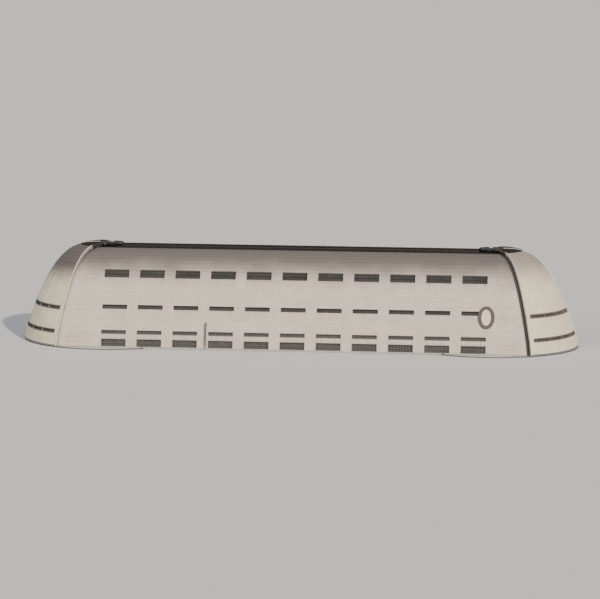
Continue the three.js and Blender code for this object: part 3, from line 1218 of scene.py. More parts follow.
def thicken(piece: bpy.types.Object, thickness: float, offset: float = -1.0) -> None:
    """Gives an open sheet a thickness.

    Args:
        piece: The sheet.
        thickness: The thickness.
        offset: -1 for inwards, 1 for outwards.
    """
    apply_modifier(piece, "SOLIDIFY", thickness=thickness, offset=offset, use_even_offset=True)


def soften(piece: bpy.types.Object, width: float) -> None:
    """Rounds a piece's sharp edges.

    Args:
        piece: The piece.
        width: Width of the rounding.
    """
    apply_modifier(
        piece, "BEVEL", width=width, segments=2, limit_method="ANGLE", angle_limit=BEVEL_ANGLE
    )


def block(name: str, middle: Sequence[float], size: Sequence[float]) -> bpy.types.Object:
    """Adds a block to build a fitting from.

    Args:
        name: The object's name.
        middle: Its middle.
        size: Its size along X, Y and Z.

    Returns:
        The block.
    """
    bpy.ops.mesh.primitive_cube_add(size=1, location=middle)
    piece = named(name)
    with editing(piece, whole=True):
        bpy.ops.transform.resize(value=size, center_override=middle)
    return piece


def block_between(name: str, low: Sequence[float], high: Sequence[float]) -> bpy.types.Object:
    """Adds a block between its lowest and its highest corner."""
    return block(name, (Vector(low) + Vector(high)) / 2, Vector(high) - Vector(low))


@dataclass(frozen=True)
class WindowRow:
    """A row of windows in the barrel's wall.

    Attributes:
        name: The row's name, as its glazing node spells it.
        low: Height of the course that it is cut in.
        high: Height of the course's top.
        lights: Panes across a window and up it.
    """

    name: str
    low: float
    high: float
    lights: tuple[int, int]


@dataclass(frozen=True)
class EdgeStrip:
    """A strip that climbs the wall beside an end edge.

    Attributes:
        part: What it is called.
        lap: From the end edge to the strip at the wall's foot, as much less further up as the wall leans in.
        start: From there to the strip, the same all the way up.
        width: Width of the strip.
        proud: How far its face stands out from the wall.
    """

    part: str
    lap: float
    start: float
    width: float
    proud: float


@dataclass
class Barrel:
    """The long barrel's cladding, windows and crown roofing.

    Attributes:
        plan: The hangar's sizes.
        palette: The finishes.
        rows: The window rows, bottom up.
        bay: Distance between windows.
        bays: Windows in a row.
        window: Width of a window opening.
        rim: From a course line to the opening.
        course: Height of a lapped course.
        sunk: How far a course's upper edge stands out from the wall.
        proud: How far its lower edge does.
        end_gap: From the barrel's end edge to the cladding's end.
        lap: From the end edge to just past a closed leaf's edge, at the foot.
        shadow_flap: Width of the dark rubber flaps beside the leaves at the right end, which paint the
            shadow that a leaf's edge casts on the wall.
        roof_top: Height where the crown roofing starts.
        batten_pitch: Distance between the battens on it.
    """

    plan: Plan
    palette: Palette
    rows: Sequence[WindowRow] = (
        WindowRow("ground", 0.10, 0.54, (8, 2)),
        WindowRow("lower", 0.86, 1.06, (8, 1)),
        WindowRow("middle", 2.35, 2.56, (8, 1)),
        WindowRow("upper", 4.19, 4.61, (8, 2)),
    )
    bay: float = 2.2
    bays: int = 11
    window: float = 1.46
    rim: float = 0.012
    course: float = 0.29
    sunk: float = 0.007
    proud: float = 0.02
    end_gap: float = 0.06
    lap: float = 0.13
    shadow_flap: float = 0.2
    roof_top: float = 5.765
    batten_pitch: float = 0.55

    def build(self) -> None:
        """Builds every piece of the barrel."""
        for side in Side:
            self._cladding(side)
            self._end_seals(side, End.LEFT)
            self._end_seals(side, End.RIGHT)
            self._gutter(side)
            self._kerb(side)
        self._windows()
        self._crown_roofing()

    def _centres(self) -> list[float]:
        """The windows' middles along X."""
        return spread(self.bays, self.bay)

    def _reach(self, short: float) -> Callable[[float], float]:
        """Half length of a sheet that stops short of the barrel's end edge."""
        return lambda y: self.plan.seam_x(y) - short

    def _cladding(self, side: Side) -> None:
        """Lapped cladding sheets over one wall, with its window openings cut out.

        Args:
            side: The side of the hangar.
        """
        bow = self.plan.barrel
        low = bow.foot + OFF_FLOOR
        profile = bow.lapped(low, self.roof_top + 0.02, self.course, self.sunk, self.proud)
        sheet = bowed_sheet(f"wall_cladding_{side.label}", profile, self._reach(self.end_gap), side)
        half = self.window / 2 + self.rim
        planes = [((x + edge * half, 0, 0), (1, 0, 0)) for x in self._centres() for edge in (-1, 1)]
        for row in self.rows:
            planes += [((0, 0, z), (0, 0, 1)) for z in (row.low, row.high)]
        cut(sheet, planes)
        remove_faces(sheet, self._in_window)
        thicken(sheet, SHEET)
        dress(sheet, self.palette.wall)

    def _end_seals(self, side: Side, end: End) -> None:
        """Dark strips at an end edge that paint shade: a thin seal in the shaded gap under the closed leaf,
        and at the right end a clamped flap beside it, a painted shadow of the leaf's edge.

        Args:
            side: The side of the hangar.
            end: The end of the hangar.
        """
        clamp = 0.03
        # Painted shade: a thin dark seal strip in the gap under the closed leaf's edge.
        strips = [EdgeStrip("seal", 0.0, 0.002, self.end_gap - 0.004, 0.003)]
        # Painted shadow: at the right end a wide dark flap, with a dark clamp bar on its inner edge, lies
        # where the leaf's edge casts its shadow on the wall.
        if end is End.RIGHT:
            strips.append(EdgeStrip("shadow_flap", self.lap, 0.0, self.shadow_flap, 0.024))
            strips.append(EdgeStrip("clamp", self.lap, self.shadow_flap - clamp, clamp, 0.03))
        for form in strips:
            strip = self._edge_strip(side, end, form)
            finish = self.palette.dark_steel if form.part == "clamp" else self.palette.rubber
            dress(strip, finish)

    def _edge_strip(self, side: Side, end: End, form: EdgeStrip) -> bpy.types.Object:
        """Draws a strip up the wall beside an end edge.

        Args:
            side: The side of the hangar.
            end: The end of the hangar.
            form: The strip's place and size.

        Returns:
            The strip.
        """
        bow, depth = self.plan.barrel, 0.016
        line = []
        for y, z in bow.smooth(bow.foot + OFF_FLOOR, self.roof_top, 0.2, form.proud):
            x = self.plan.seam_x(y) - form.lap * y / bow.half - form.start
            line.append((end.value * x, side.value * y, z))
        outer = Vector(line[0])
        inner = outer - Vector((end.value * form.width, 0, 0))
        strip = edge_chain(f"end_{form.part}_{end.label}_{side.label}", [inner, outer])
        sweep(strip, [Vector(above) - Vector(below) for below, above in zip(line, line[1:])])
        face_out(strip)
        thicken(strip, depth)
        return strip

    def _in_window(self, at: Vector) -> bool:
        """Whether a place on the wall lies in a hole in the cladding, whose edges the trim covers.

        Args:
            at: The place.

        Returns:
            Whether it does.
        """
        if not any(row.low < at.z < row.high for row in self.rows):
            return False
        return any(abs(at.x - x) < self.window / 2 + self.rim for x in self._centres())

    def _gutter(self, side: Side) -> None:
        """The gutter along the crown roofing's edge.

        Args:
            side: The side of the hangar.
        """
        y, z = self.plan.barrel.point(self.plan.barrel.station(self.roof_top), 0.01)
        box = [(y - 0.02, z), (y + 0.03, z - 0.03), (y + 0.045, z + 0.012), (y + 0.03, z + 0.016)]
        gutter = bowed_sheet(f"crown_gutter_{side.label}", box, self._reach(self.end_gap), side)
        thicken(gutter, 0.008)
        dress(gutter, self.palette.wall)

    def _kerb(self, side: Side) -> None:
        """The concrete kerb along the wall's foot.

        Args:
            side: The side of the hangar.
        """
        y = self.plan.barrel.half
        low, high = self.plan.slab_top - 0.03, self.plan.slab_top + 0.055
        outline = [(y + 0.05, low), (y + 0.05, high), (y + 0.035, high + 0.012), (y - 0.02, high + 0.012)]
        kerb = bowed_sheet(f"wall_kerb_{side.label}", outline, lambda y: self.plan.pin + 1.9, side)
        dress(kerb, self.palette.concrete)

    def _windows(self) -> None:
        """Sashes and architraves for every window of both sides."""
        mirror = Matrix.Diagonal((1, -1, 1, 1))
        for row in self.rows:
            dark = row.name in ("upper", "middle")
            paint = self.palette.dark_frame if dark else self.palette.frame
            for part, piece in (("sash", self._sash(row)), ("architrave", self._architrave(row))):
                twins = copies(piece, along_x(self._centres()))
                front = join(twins, f"window_{part}_{row.name}_front")
                back = copied(front, f"window_{part}_{row.name}_back", mirror)
                for whole in (front, back):
                    dress(whole, paint)

    def _window_frame(self, row: WindowRow, inset: float, grow: float) -> list[Vector]:
        """The corners of a window's face on the front side, at X = 0.

        Args:
            row: The window row.
            inset: How far the face lies behind the wall's surface.
            grow: How far it reaches past the opening.

        Returns:
            Its lower left, lower right, upper right and upper left corners.
        """
        bow = self.plan.barrel
        low = Vector(bow.point(bow.station(row.low + self.rim - grow), -inset))
        high = Vector(bow.point(bow.station(row.high - self.rim + grow), -inset))
        half = self.window / 2 + grow
        return [
            Vector((-half, -low.x, low.y)),
            Vector((half, -low.x, low.y)),
            Vector((half, -high.x, high.y)),
            Vector((-half, -high.x, high.y)),
        ]

    def _sash(self, row: WindowRow) -> bpy.types.Object:
        """A window's frame and glazing bars, in its reveal.

        Args:
            row: The window row.

        Returns:
            The sash, at X = 0.
        """
        corners = self._window_frame(row, inset=0.03, grow=-0.002)
        left, right = corners[0], corners[1]
        across, up = row.lights
        piece = edge_chain(f"sash_{row.name}", [left, right])
        sweep(piece, [(corners[3] - left) / up] * up)
        span = right.x - left.x
        cut(piece, [((left.x + span * i / across, 0, 0), (1, 0, 0)) for i in range(1, across)])
        open_faces(piece, HALF_BAR)
        face_out(piece)
        thicken(piece, BAR_DEPTH, offset=0.0)
        return piece

    def _architrave(self, row: WindowRow) -> bpy.types.Object:
        """The raised trim round a window opening.

        Args:
            row: The window row.

        Returns:
            The trim, at X = 0.
        """
        corners = self._window_frame(row, inset=-0.014, grow=TRIM_WIDTH)
        piece = edge_chain(f"architrave_{row.name}", [corners[0], corners[1]])
        sweep(piece, [corners[3] - corners[0]])
        open_faces(piece, TRIM_WIDTH)
        face_out(piece)
        thicken(piece, 0.03, offset=0.0)
        return piece

    def _over_crown(self, low: float, spacing: float, proud: float) -> list[Point2]:
        """A profile over the crown, from one edge of its roofing to the other.

        Args:
            low: Height where it starts and ends.
            spacing: Distance between its points.
            proud: How far it stands out from the roof.

        Returns:
            Distances from the ridge plane and heights, from the back to the front.
        """
        bow, short = self.plan.barrel, 1e-5
        half = bow.smooth(low, bow.crown - short, spacing, proud)
        return [*half, *[(-y, z) for y, z in reversed(half)]]

    def _crown_roofing(self) -> None:
        """Felt over the crown of the roof, with battens across it."""
        over = self._over_crown(self.roof_top + 0.005, spacing=0.25, proud=0.012)
        felt = bowed_sheet("crown_felt", over, self._reach(self.end_gap), Side.BACK)
        face_up(felt)
        dress(felt, self.palette.felt, smooth=True)
        over = self._over_crown(self.roof_top + 0.01, spacing=0.5, proud=0.03)
        batten = bowed_sheet("felt_batten", over, lambda y: 0.018, Side.BACK)
        face_up(batten)
        thicken(batten, 0.02)
        half = self.plan.pin - 0.9
        count = int(half * 2 / self.batten_pitch)
        twins = copies(batten, along_x(spread(count, self.batten_pitch)))
        dress(join(twins, "crown_battens"), self.palette.felt)


def meridian_bar(
    name: str, plan: Plan, profile: Sequence[Point2], angle: float, shift: float, width: float, depth: float
) -> bpy.types.Object:
    """Draws a bar of even width that climbs a leaf in a vertical plane through the right end's pin.

    Args:
        name: The object's name.
        plan: The hangar's sizes.
        profile: Radii and heights of its outer face, from the bottom up.
        angle: The plane's plan angle.
        shift: How far its first edge stands from the plane, towards larger angles.
        width: Its width, towards larger angles, or smaller ones if negative.
        depth: Its thickness, inwards.

    Returns:
        The bar.
    """
    along = Vector((-math.sin(angle), math.cos(angle), 0))
    out = Vector((math.cos(angle), math.sin(angle), 0))
    start = Vector((plan.pin, 0, 0)) + along * shift
    bar = edge_chain(name, [start + out * r + Vector((0, 0, z)) for r, z in profile])
    sweep(bar, [along * width])
    face_out(bar, plan.pin)
    thicken(bar, depth)
    return bar


@dataclass(frozen=True)
class Ribbon:
    """A band of panes round a door leaf.

    Attributes:
        name: The band's name.
        low: Height of the course that it is cut in.
        high: Height of the course's top.
    """

    name: str
    low: float
    high: float


@dataclass
class DoorLeaf:
    """One quarter-shell door leaf, drawn for the back right corner and mirrored to the other three.

    Attributes:
        plan: The hangar's sizes.
        palette: The finishes.
        ribbons: The bands of panes.
        rim: From a course line to the opening.
        panes: Openings in a band.
        first_pane: Plan angle in degrees where the first one starts.
        pane_pitch: Degrees from one to the next.
        pane_angle: Degrees that one spans.
        lights: Panes of glass in an opening.
        cap_radius: Radius that the cladding stops at, beside the pin cap.
        felt_radius: Radius of the felt over the leaf's crown.
        course: Height of a lapped course.
        sunk: How far a course's upper edge stands out from the leaf.
        proud: How far its lower edge does.
        foot: Height where the cladding starts.
        column: Degrees between the battens.
        ribs: Ribs on the leaf's inner side.
        girts: Heights of the flat rings there.
    """

    plan: Plan
    palette: Palette
    ribbons: Sequence[Ribbon] = (Ribbon("low", 0.86, 1.06), Ribbon("high", 2.25, 2.46))
    rim: float = 0.012
    panes: int = 4
    first_pane: float = 5.0
    pane_pitch: float = 13.2
    pane_angle: float = 12.4
    lights: int = 6
    cap_radius: float = 0.74
    felt_radius: float = 1.95
    course: float = 0.29
    sunk: float = 0.012
    proud: float = 0.026
    foot: float = 0.13
    column: float = 12.1
    ribs: int = 5
    girts: Sequence[float] = (0.6, 1.6, 2.9, 3.8, 4.6, 5.25)

    def build(self) -> None:
        """Builds the pieces of one leaf and mirrors them to the other three."""
        palette = self.palette
        made = [
            (self._cladding(), palette.door, "door_cladding"),
            (self._battens(), palette.door, "door_cladding"),
            (self._rear_jamb(), palette.jamb, "door_cladding"),
            (self._meeting_stile(), palette.jamb, "door_cladding"),
            (self._crown_capping(), palette.felt, "roofing"),
            (self._kick_plate(), palette.steel, "steelwork"),
            (self._inner_ribs(), palette.steel, "steelwork"),
        ]
        for ribbon in self.ribbons:
            made.append((self._ribbon_lights(ribbon), palette.frame, "door_cladding"))
            made.append((self._ribbon_trim(ribbon), palette.frame, "door_cladding"))
        for piece, material, slot in made:
            for end, side, mirror in quarters():
                corner = f"{end.label}_{side.label}"
                twin = copied(piece, f"{piece.name}_{corner}", mirror)
                # The left leaves get the copy of the door sheet with the deeper painted shade.
                shaded_end = end is End.LEFT and material is palette.door
                dress(twin, palette.shaded_door if shaded_end else material, f"door_{corner}")
            bpy.data.objects.remove(piece)

    def _openings(self) -> list[tuple[float, float]]:
        """First and last plan angle of every opening, in radians."""
        starts = [self.first_pane + i * self.pane_pitch for i in range(self.panes)]
        return [(math.radians(a), math.radians(a + self.pane_angle)) for a in starts]

    def _angle_of(self, at: Vector) -> float:
        """Plan angle of a place, seen from the pin."""
        return math.atan2(at.y, at.x - self.plan.pin)

    def _angle_planes(self, angles: Sequence[float]) -> list[tuple]:
        """Vertical planes through the pin, for cut."""
        return [((self.plan.pin, 0, 0), (-math.sin(a), math.cos(a), 0)) for a in angles]

    def _top(self) -> float:
        """Height where the cladding meets the pin cap."""
        return self.plan.leaf.height_at(self.cap_radius)

    def _cladding(self) -> bpy.types.Object:
        """Lapped cladding sheets, with the openings of both ribbons cut out.

        Returns:
            The cladding.
        """
        bow = self.plan.leaf
        profile = bow.lapped(self.foot, self._top(), self.course, self.sunk, self.proud)
        last = self.plan.leaf_end - 0.006
        sheet = spun_sheet("leaf_cladding", self.plan, profile, first=0.003, last=last, step=LEAF_STEP)
        planes = self._angle_planes([a for pair in self._openings() for a in pair])
        for ribbon in self.ribbons:
            planes += [((0, 0, z), (0, 0, 1)) for z in (ribbon.low + self.rim, ribbon.high - self.rim)]
        cut(sheet, planes)
        remove_faces(sheet, self._in_opening)
        thicken(sheet, SHEET)
        return sheet

    def _in_opening(self, at: Vector) -> bool:
        """Whether a place on the leaf lies in an opening.

        Args:
            at: The place.

        Returns:
            Whether it does.
        """
        if not any(r.low + self.rim < at.z < r.high - self.rim for r in self.ribbons):
            return False
        return any(a < self._angle_of(at) < b for a, b in self._openings())

    def _battens(self) -> bpy.types.Object:
        """Cover strips over the joints of the cladding, between the ribbons and above them.

        Returns:
            The strips, as one piece.
        """
        clear, width, depth = 0.05, 0.028, 0.03
        starts = [self.foot, *[ribbon.high + clear for ribbon in self.ribbons]]
        stops = [*[ribbon.low - clear for ribbon in self.ribbons], self._top()]
        bars = []
        count = int(math.degrees(self.plan.leaf_end) / self.column)
        for low, high in zip(starts, stops):
            profile = self.plan.leaf.smooth(low, high, spacing=0.2, proud=self.proud + 0.008)
            for i in range(1, count + 1):
                angle = math.radians(self.column * i)
                bars.append(meridian_bar("batten", self.plan, profile, angle, -width / 2, width, depth))
        return join(bars, "leaf_battens")

    def _rear_jamb(self) -> bpy.types.Object:
        """The heavy rib along the rear edge, which laps over the barrel's end.

        Returns:
            The rib.
        """
        high = self.plan.leaf.height_at(self.felt_radius - 0.02)
        low = self.plan.leaf.foot + OFF_FLOOR
        profile = self.plan.leaf.smooth(low, high, spacing=0.16, proud=0.085)
        angle = self.plan.leaf_end
        bar = meridian_bar(
            "leaf_rear_jamb", self.plan, profile, angle, shift=-0.001, width=-0.035, depth=0.1
        )
        soften(bar, width=0.009)
        return bar

    def _meeting_stile(self) -> bpy.types.Object:
        """The cover bar along the edge where two leaves meet.

        Returns:
            The bar.
        """
        low = self.plan.leaf.foot + OFF_FLOOR
        profile = self.plan.leaf.smooth(low, self._top(), spacing=0.16, proud=0.05)
        bar = meridian_bar(
            "leaf_meeting_stile", self.plan, profile, angle=0.0, shift=0.007, width=0.07, depth=0.06
        )
        soften(bar, width=0.008)
        return bar

    def _crown_capping(self) -> bpy.types.Object:
        """Felt over the flat crown of the leaf, from the pin cap to the first courses.

        Returns:
            The felt, with its edge turned down.
        """
        bow = self.plan.leaf
        proud = self.proud + 0.01
        profile = bow.smooth(bow.height_at(self.felt_radius), self._top(), 0.1, proud)
        last, step = self.plan.leaf_end - 0.0005, math.radians(3)
        felt = spun_sheet("leaf_crown_felt", self.plan, profile, first=0.012, last=last, step=step)
        thicken(felt, 0.02)
        turned_down = meridian_bar(
            "crown_flashing", self.plan, profile, angle=last, shift=0.002, width=SHEET, depth=0.14
        )
        return join([felt, turned_down], "leaf_crown_felt")

    def _kick_plate(self) -> bpy.types.Object:
        """The steel plate along the foot of the leaf.

        Returns:
            The plate.
        """
        bow = self.plan.leaf
        over = 0.03
        profile = bow.smooth(bow.foot + OFF_FLOOR, self.foot + over, spacing=0.06, proud=0.032)
        last = self.plan.leaf_end - 0.018
        plate = spun_sheet("leaf_kick_plate", self.plan, profile, first=0.015, last=last, step=LEAF_STEP)
        thicken(plate, 0.018)
        return plate

    def _inner_ribs(self) -> bpy.types.Object:
        """Flat ribs and rings on the inner side of the shell.

        Returns:
            The ribs and rings, as one piece.
        """
        bow, last = self.plan.leaf, self.plan.leaf_end
        within, width, depth = -0.1, 0.06, 0.022
        profile = bow.smooth(0.2, bow.height_at(self.cap_radius + 0.35), spacing=0.3, proud=within)
        bars = []
        for i in range(self.ribs):
            angle = last * (i + 0.5) / self.ribs
            bars.append(meridian_bar("inner_rib", self.plan, profile, angle, -width / 2, width, depth))
        for height in self.girts:
            band = [bow.point(bow.station(height + edge * width / 2), within) for edge in (-1, 1)]
            girt = spun_sheet("inner_girt", self.plan, band, 0.01, last - 0.01, LEAF_STEP)
            thicken(girt, depth)
            bars.append(girt)
        return join(bars, "leaf_inner_ribs")

    def _band(self, ribbon: Ribbon, proud: float, grow: float) -> list[Point2]:
        """Foot and head of a ribbon's face, some way out from the leaf's curve.

        Args:
            ribbon: The band of panes.
            proud: How far out from the curve.
            grow: How far it reaches past the openings.

        Returns:
            Radii and heights of its foot and its head.
        """
        bow = self.plan.leaf
        heights = (ribbon.low + self.rim - grow, ribbon.high - self.rim + grow)
        return [bow.point(bow.station(z), proud) for z in heights]

    def _ribbon_lights(self, ribbon: Ribbon) -> bpy.types.Object:
        """The glazing bars of a ribbon's openings, set back in their reveals.

        Args:
            ribbon: The band of panes.

        Returns:
            The bars, as one piece.
        """
        profile = self._band(ribbon, proud=-0.03, grow=0.002)
        parts = []
        for a, b in self._openings():
            light = spun_sheet("light", self.plan, profile, a, b, (b - a) / self.lights)
            open_faces(light, HALF_BAR)
            thicken(light, BAR_DEPTH, offset=0.0)
            parts.append(light)
        return join(parts, f"leaf_lights_{ribbon.name}")

    def _ribbon_trim(self, ribbon: Ribbon) -> bpy.types.Object:
        """The raised band round a ribbon's openings.

        Args:
            ribbon: The band of panes.

        Returns:
            The band.
        """
        opening = self._band(ribbon, proud=self.proud, grow=0.0)
        outer = self._band(ribbon, proud=self.proud, grow=TRIM_WIDTH)
        profile = [outer[0], opening[0], opening[1], outer[1]]
        pairs = self._openings()
        margin = TRIM_WIDTH / self.plan.leaf.half
        first, last = pairs[0][0] - margin, pairs[-1][1] + margin
        trim = spun_sheet(f"leaf_trim_{ribbon.name}", self.plan, profile, first, last, LEAF_STEP)
        cut(trim, self._angle_planes([a for pair in pairs for a in pair]))
        remove_faces(trim, self._in_opening)
        thicken(trim, 0.022, offset=0.0)
        return trim


@dataclass
class WallFittings:
    """The oval medallion and the caged ladder on the front wall.

    Attributes:
        plan: The hangar's sizes.
        palette: The finishes.
        medallion: Middle of the medallion, along X and up.
        radii: Half width and half height of its outer edge.
        stroke: Width of its raised rim.
        stand_off: From the wall to the back of the medallion.
        ladder_x: Middle of the ladder along X.
        ladder_half: From there to its stiles.
        ladder_top: Height of its top.
        cage: How far the ladder's cage stands out from its stiles.
    """

    plan: Plan
    palette: Palette
    medallion: Point2 = (11.74, 2.23)
    radii: Point2 = (0.51, 0.71)
    stroke: float = 0.22
    stand_off: float = 0.04
    ladder_x: float = -5.34
    ladder_half: float = 0.05
    ladder_top: float = 1.62
    cage: float = 0.075

    def build(self) -> None:
        """Builds the fittings."""
        step = 0.012
        rim = self._oval("medallion_rim", self.radii, self.stroke, self.stand_off + step)
        thicken(rim, 0.06)
        soften(rim, 0.006)
        dress(rim, self.palette.emblem)
        inner = tuple(radius - self.stroke * 0.6 for radius in self.radii)
        field = self._oval("medallion_field", inner, 0.0, self.stand_off)
        thicken(field, 0.03)
        dress(field, self.palette.door)
        self._ladder()
        self._cage()

    def _oval(self, name: str, radii: Point2, stroke: float, stand_off: float) -> bpy.types.Object:
        """A flat oval band that leans against the front wall.

        Args:
            name: The piece's name.
            radii: Half width and half height of its outer edge.
            stroke: Width of the band, or 0 for a filled oval.
            stand_off: How far its face lies out from the wall, at its middle.

        Returns:
            The band.
        """
        bow = self.plan.barrel
        x, z = self.medallion
        low, high = (bow.point(bow.station(z + edge * self.radii[1])) for edge in (-1, 1))
        y, z = bow.point(bow.station(z), stand_off)
        bpy.ops.mesh.primitive_circle_add(vertices=64, radius=1, location=(0, 0, 0))
        band = named(name)
        with editing(band, whole=True):
            bpy.ops.transform.resize(value=(*radii, 1), center_override=(0, 0, 0))
            if stroke:
                bpy.ops.mesh.extrude_edges_move()
                shares = [1 - stroke / radius for radius in radii]
                bpy.ops.transform.resize(value=(*shares, 1), center_override=(0, 0, 0))
            else:
                bpy.ops.mesh.edge_face_add()
                bpy.ops.mesh.inset(thickness=0.06)
        band.location = (x, -y, z)
        band.rotation_euler = (math.pi / 2 - math.atan2(low[0] - high[0], high[1] - low[1]), 0, 0)
        settle(band)
        outward(band, lambda at: at + Vector((0, 1, 0)))
        return band

    def _ladder(self) -> None:
        """The ladder up the wall's lower part, held off it by brackets."""
        bow = self.plan.barrel
        path = bow.smooth(self.plan.slab_top + 0.02, self.ladder_top, spacing=0.3, proud=0.07)
        stiles = []
        for edge in (-1, 1):
            x = self.ladder_x + edge * self.ladder_half
            strip = bowed_sheet("stile", path, lambda y: 0.008, Side.FRONT, x)
            thicken(strip, 0.02)
            stiles.append(strip)
        rungs = bow.stations(self.plan.slab_top + 0.06, self.ladder_top - 0.03, spacing=0.06)
        for i, station in enumerate(rungs):
            y, z = bow.point(station, proud=0.06)
            bpy.ops.mesh.primitive_cylinder_add(
                vertices=8, radius=0.005, depth=self.ladder_half * 2, location=(self.ladder_x, -y, z),
                rotation=(0, math.pi / 2, 0),
            )
            stiles.append(named(f"rung_{i}"))
        for station in rungs[::7]:
            y, z = bow.point(station, proud=0.035)
            for edge in (-1, 1):
                middle = (self.ladder_x + edge * self.ladder_half, -y, z)
                stiles.append(block("ladder_bracket", middle, (0.01, 0.07, 0.012)))
        dress(join(stiles, "wall_ladder"), self.palette.dark_steel)

    def _cage(self) -> None:
        """The safety cage round the ladder: hoops, and straps that join them."""
        bow, behind, low, high, wire = self.plan.barrel, 0.07, 0.3, self.ladder_top - 0.02, 0.004
        angles = [math.radians(-90 + 22.5 * i) for i in range(9)]
        around = [(self.ladder_half * math.sin(a), behind + self.cage * math.cos(a)) for a in angles]
        parts = []
        for i, station in enumerate(bow.stations(low, high, spacing=0.09)):
            rows = [(across, bow.point(station, out)) for across, out in around]
            hoop = [Vector((self.ladder_x + across, -y, z)) for across, (y, z) in rows]
            parts.append(tube(edge_chain(f"cage_hoop_{i}", hoop), wire))
        for across, out in around[1:-1:2]:
            strap = [Vector((self.ladder_x + across, -y, z)) for y, z in bow.smooth(low, high, 0.2, out)]
            parts.append(tube(edge_chain("cage_strap", strap), wire))
        dress(join(parts, "ladder_cage"), self.palette.dark_steel)


@dataclass
class Interior:
    """The steel frame inside the barrel: arches at every bay line, with purlins between them.

    Attributes:
        plan: The hangar's sizes.
        palette: The finishes.
        bay: Distance between arches.
        arches: How many there are.
        inset: From the wall's outer face to the arches' outer flange.
        depth: Depth of an arch.
        purlin: Depth of a purlin.
    """

    plan: Plan
    palette: Palette
    bay: float = 2.2
    arches: int = 10
    inset: float = 0.11
    depth: float = 0.3
    purlin: float = 0.018

    def build(self) -> None:
        """Builds one arch, copies it to every bay line and adds the purlins."""
        twins = copies(self._arch(), along_x(spread(self.arches, self.bay)))
        dress(join(twins, "interior_arches"), self.palette.steel)
        dress(self._purlins(), self.palette.steel)

    def _curve(self, depth: float) -> list[Point2]:
        """Half widths and heights of the arch at a depth under the wall's face."""
        bow = self.plan.barrel
        return bow.smooth(self.plan.slab_top + 0.01, bow.crown - 1e-4, spacing=0.45, proud=-depth)

    def _arch(self) -> bpy.types.Object:
        """A lattice arch at X = 0: two flanges with posts and diagonals between them.

        Returns:
            The arch.
        """
        outer, inner = self._curve(self.inset), self._curve(self.inset + self.depth)
        parts = []
        for side in Side:
            for path in (outer, inner):
                flange = bowed_sheet("flange", path, lambda y: 0.04, side)
                thicken(flange, 0.014)
                parts.append(flange)
            web = [Vector((0, side.value * y, z)) for pair in zip(outer, inner) for y, z in pair]
            parts.append(tube(edge_chain("lattice", web), radius=0.012))
        return join(parts, "arch")

    def _zed(self, station: float) -> list[Point2]:
        """A purlin's Z section, which stands on the arches' outer flanges.

        Args:
            station: Its place on the barrel's curve.

        Returns:
            Half widths and heights of the section's points.
        """
        bow = self.plan.barrel
        inner = Vector(bow.point(station, -self.inset))
        outer = Vector(bow.point(station, self.purlin - self.inset))
        along = (outer - inner).orthogonal()
        return [tuple(point) for point in (inner - along, inner, outer, outer + along)]

    def _purlins(self) -> bpy.types.Object:
        """Purlins along the hangar, on the arches' outer flanges.

        Returns:
            The purlins, as one piece.
        """
        parts = []
        half = (self.arches - 1) / 2 * self.bay + 0.3
        bow = self.plan.barrel
        for station in bow.stations(0.7, bow.crown - 0.02, spacing=0.62):
            for side in Side:
                purlin = bowed_sheet("purlin", self._zed(station), lambda y: half, side)
                thicken(purlin, 0.004)
                parts.append(purlin)
        return join(parts, "interior_purlins")


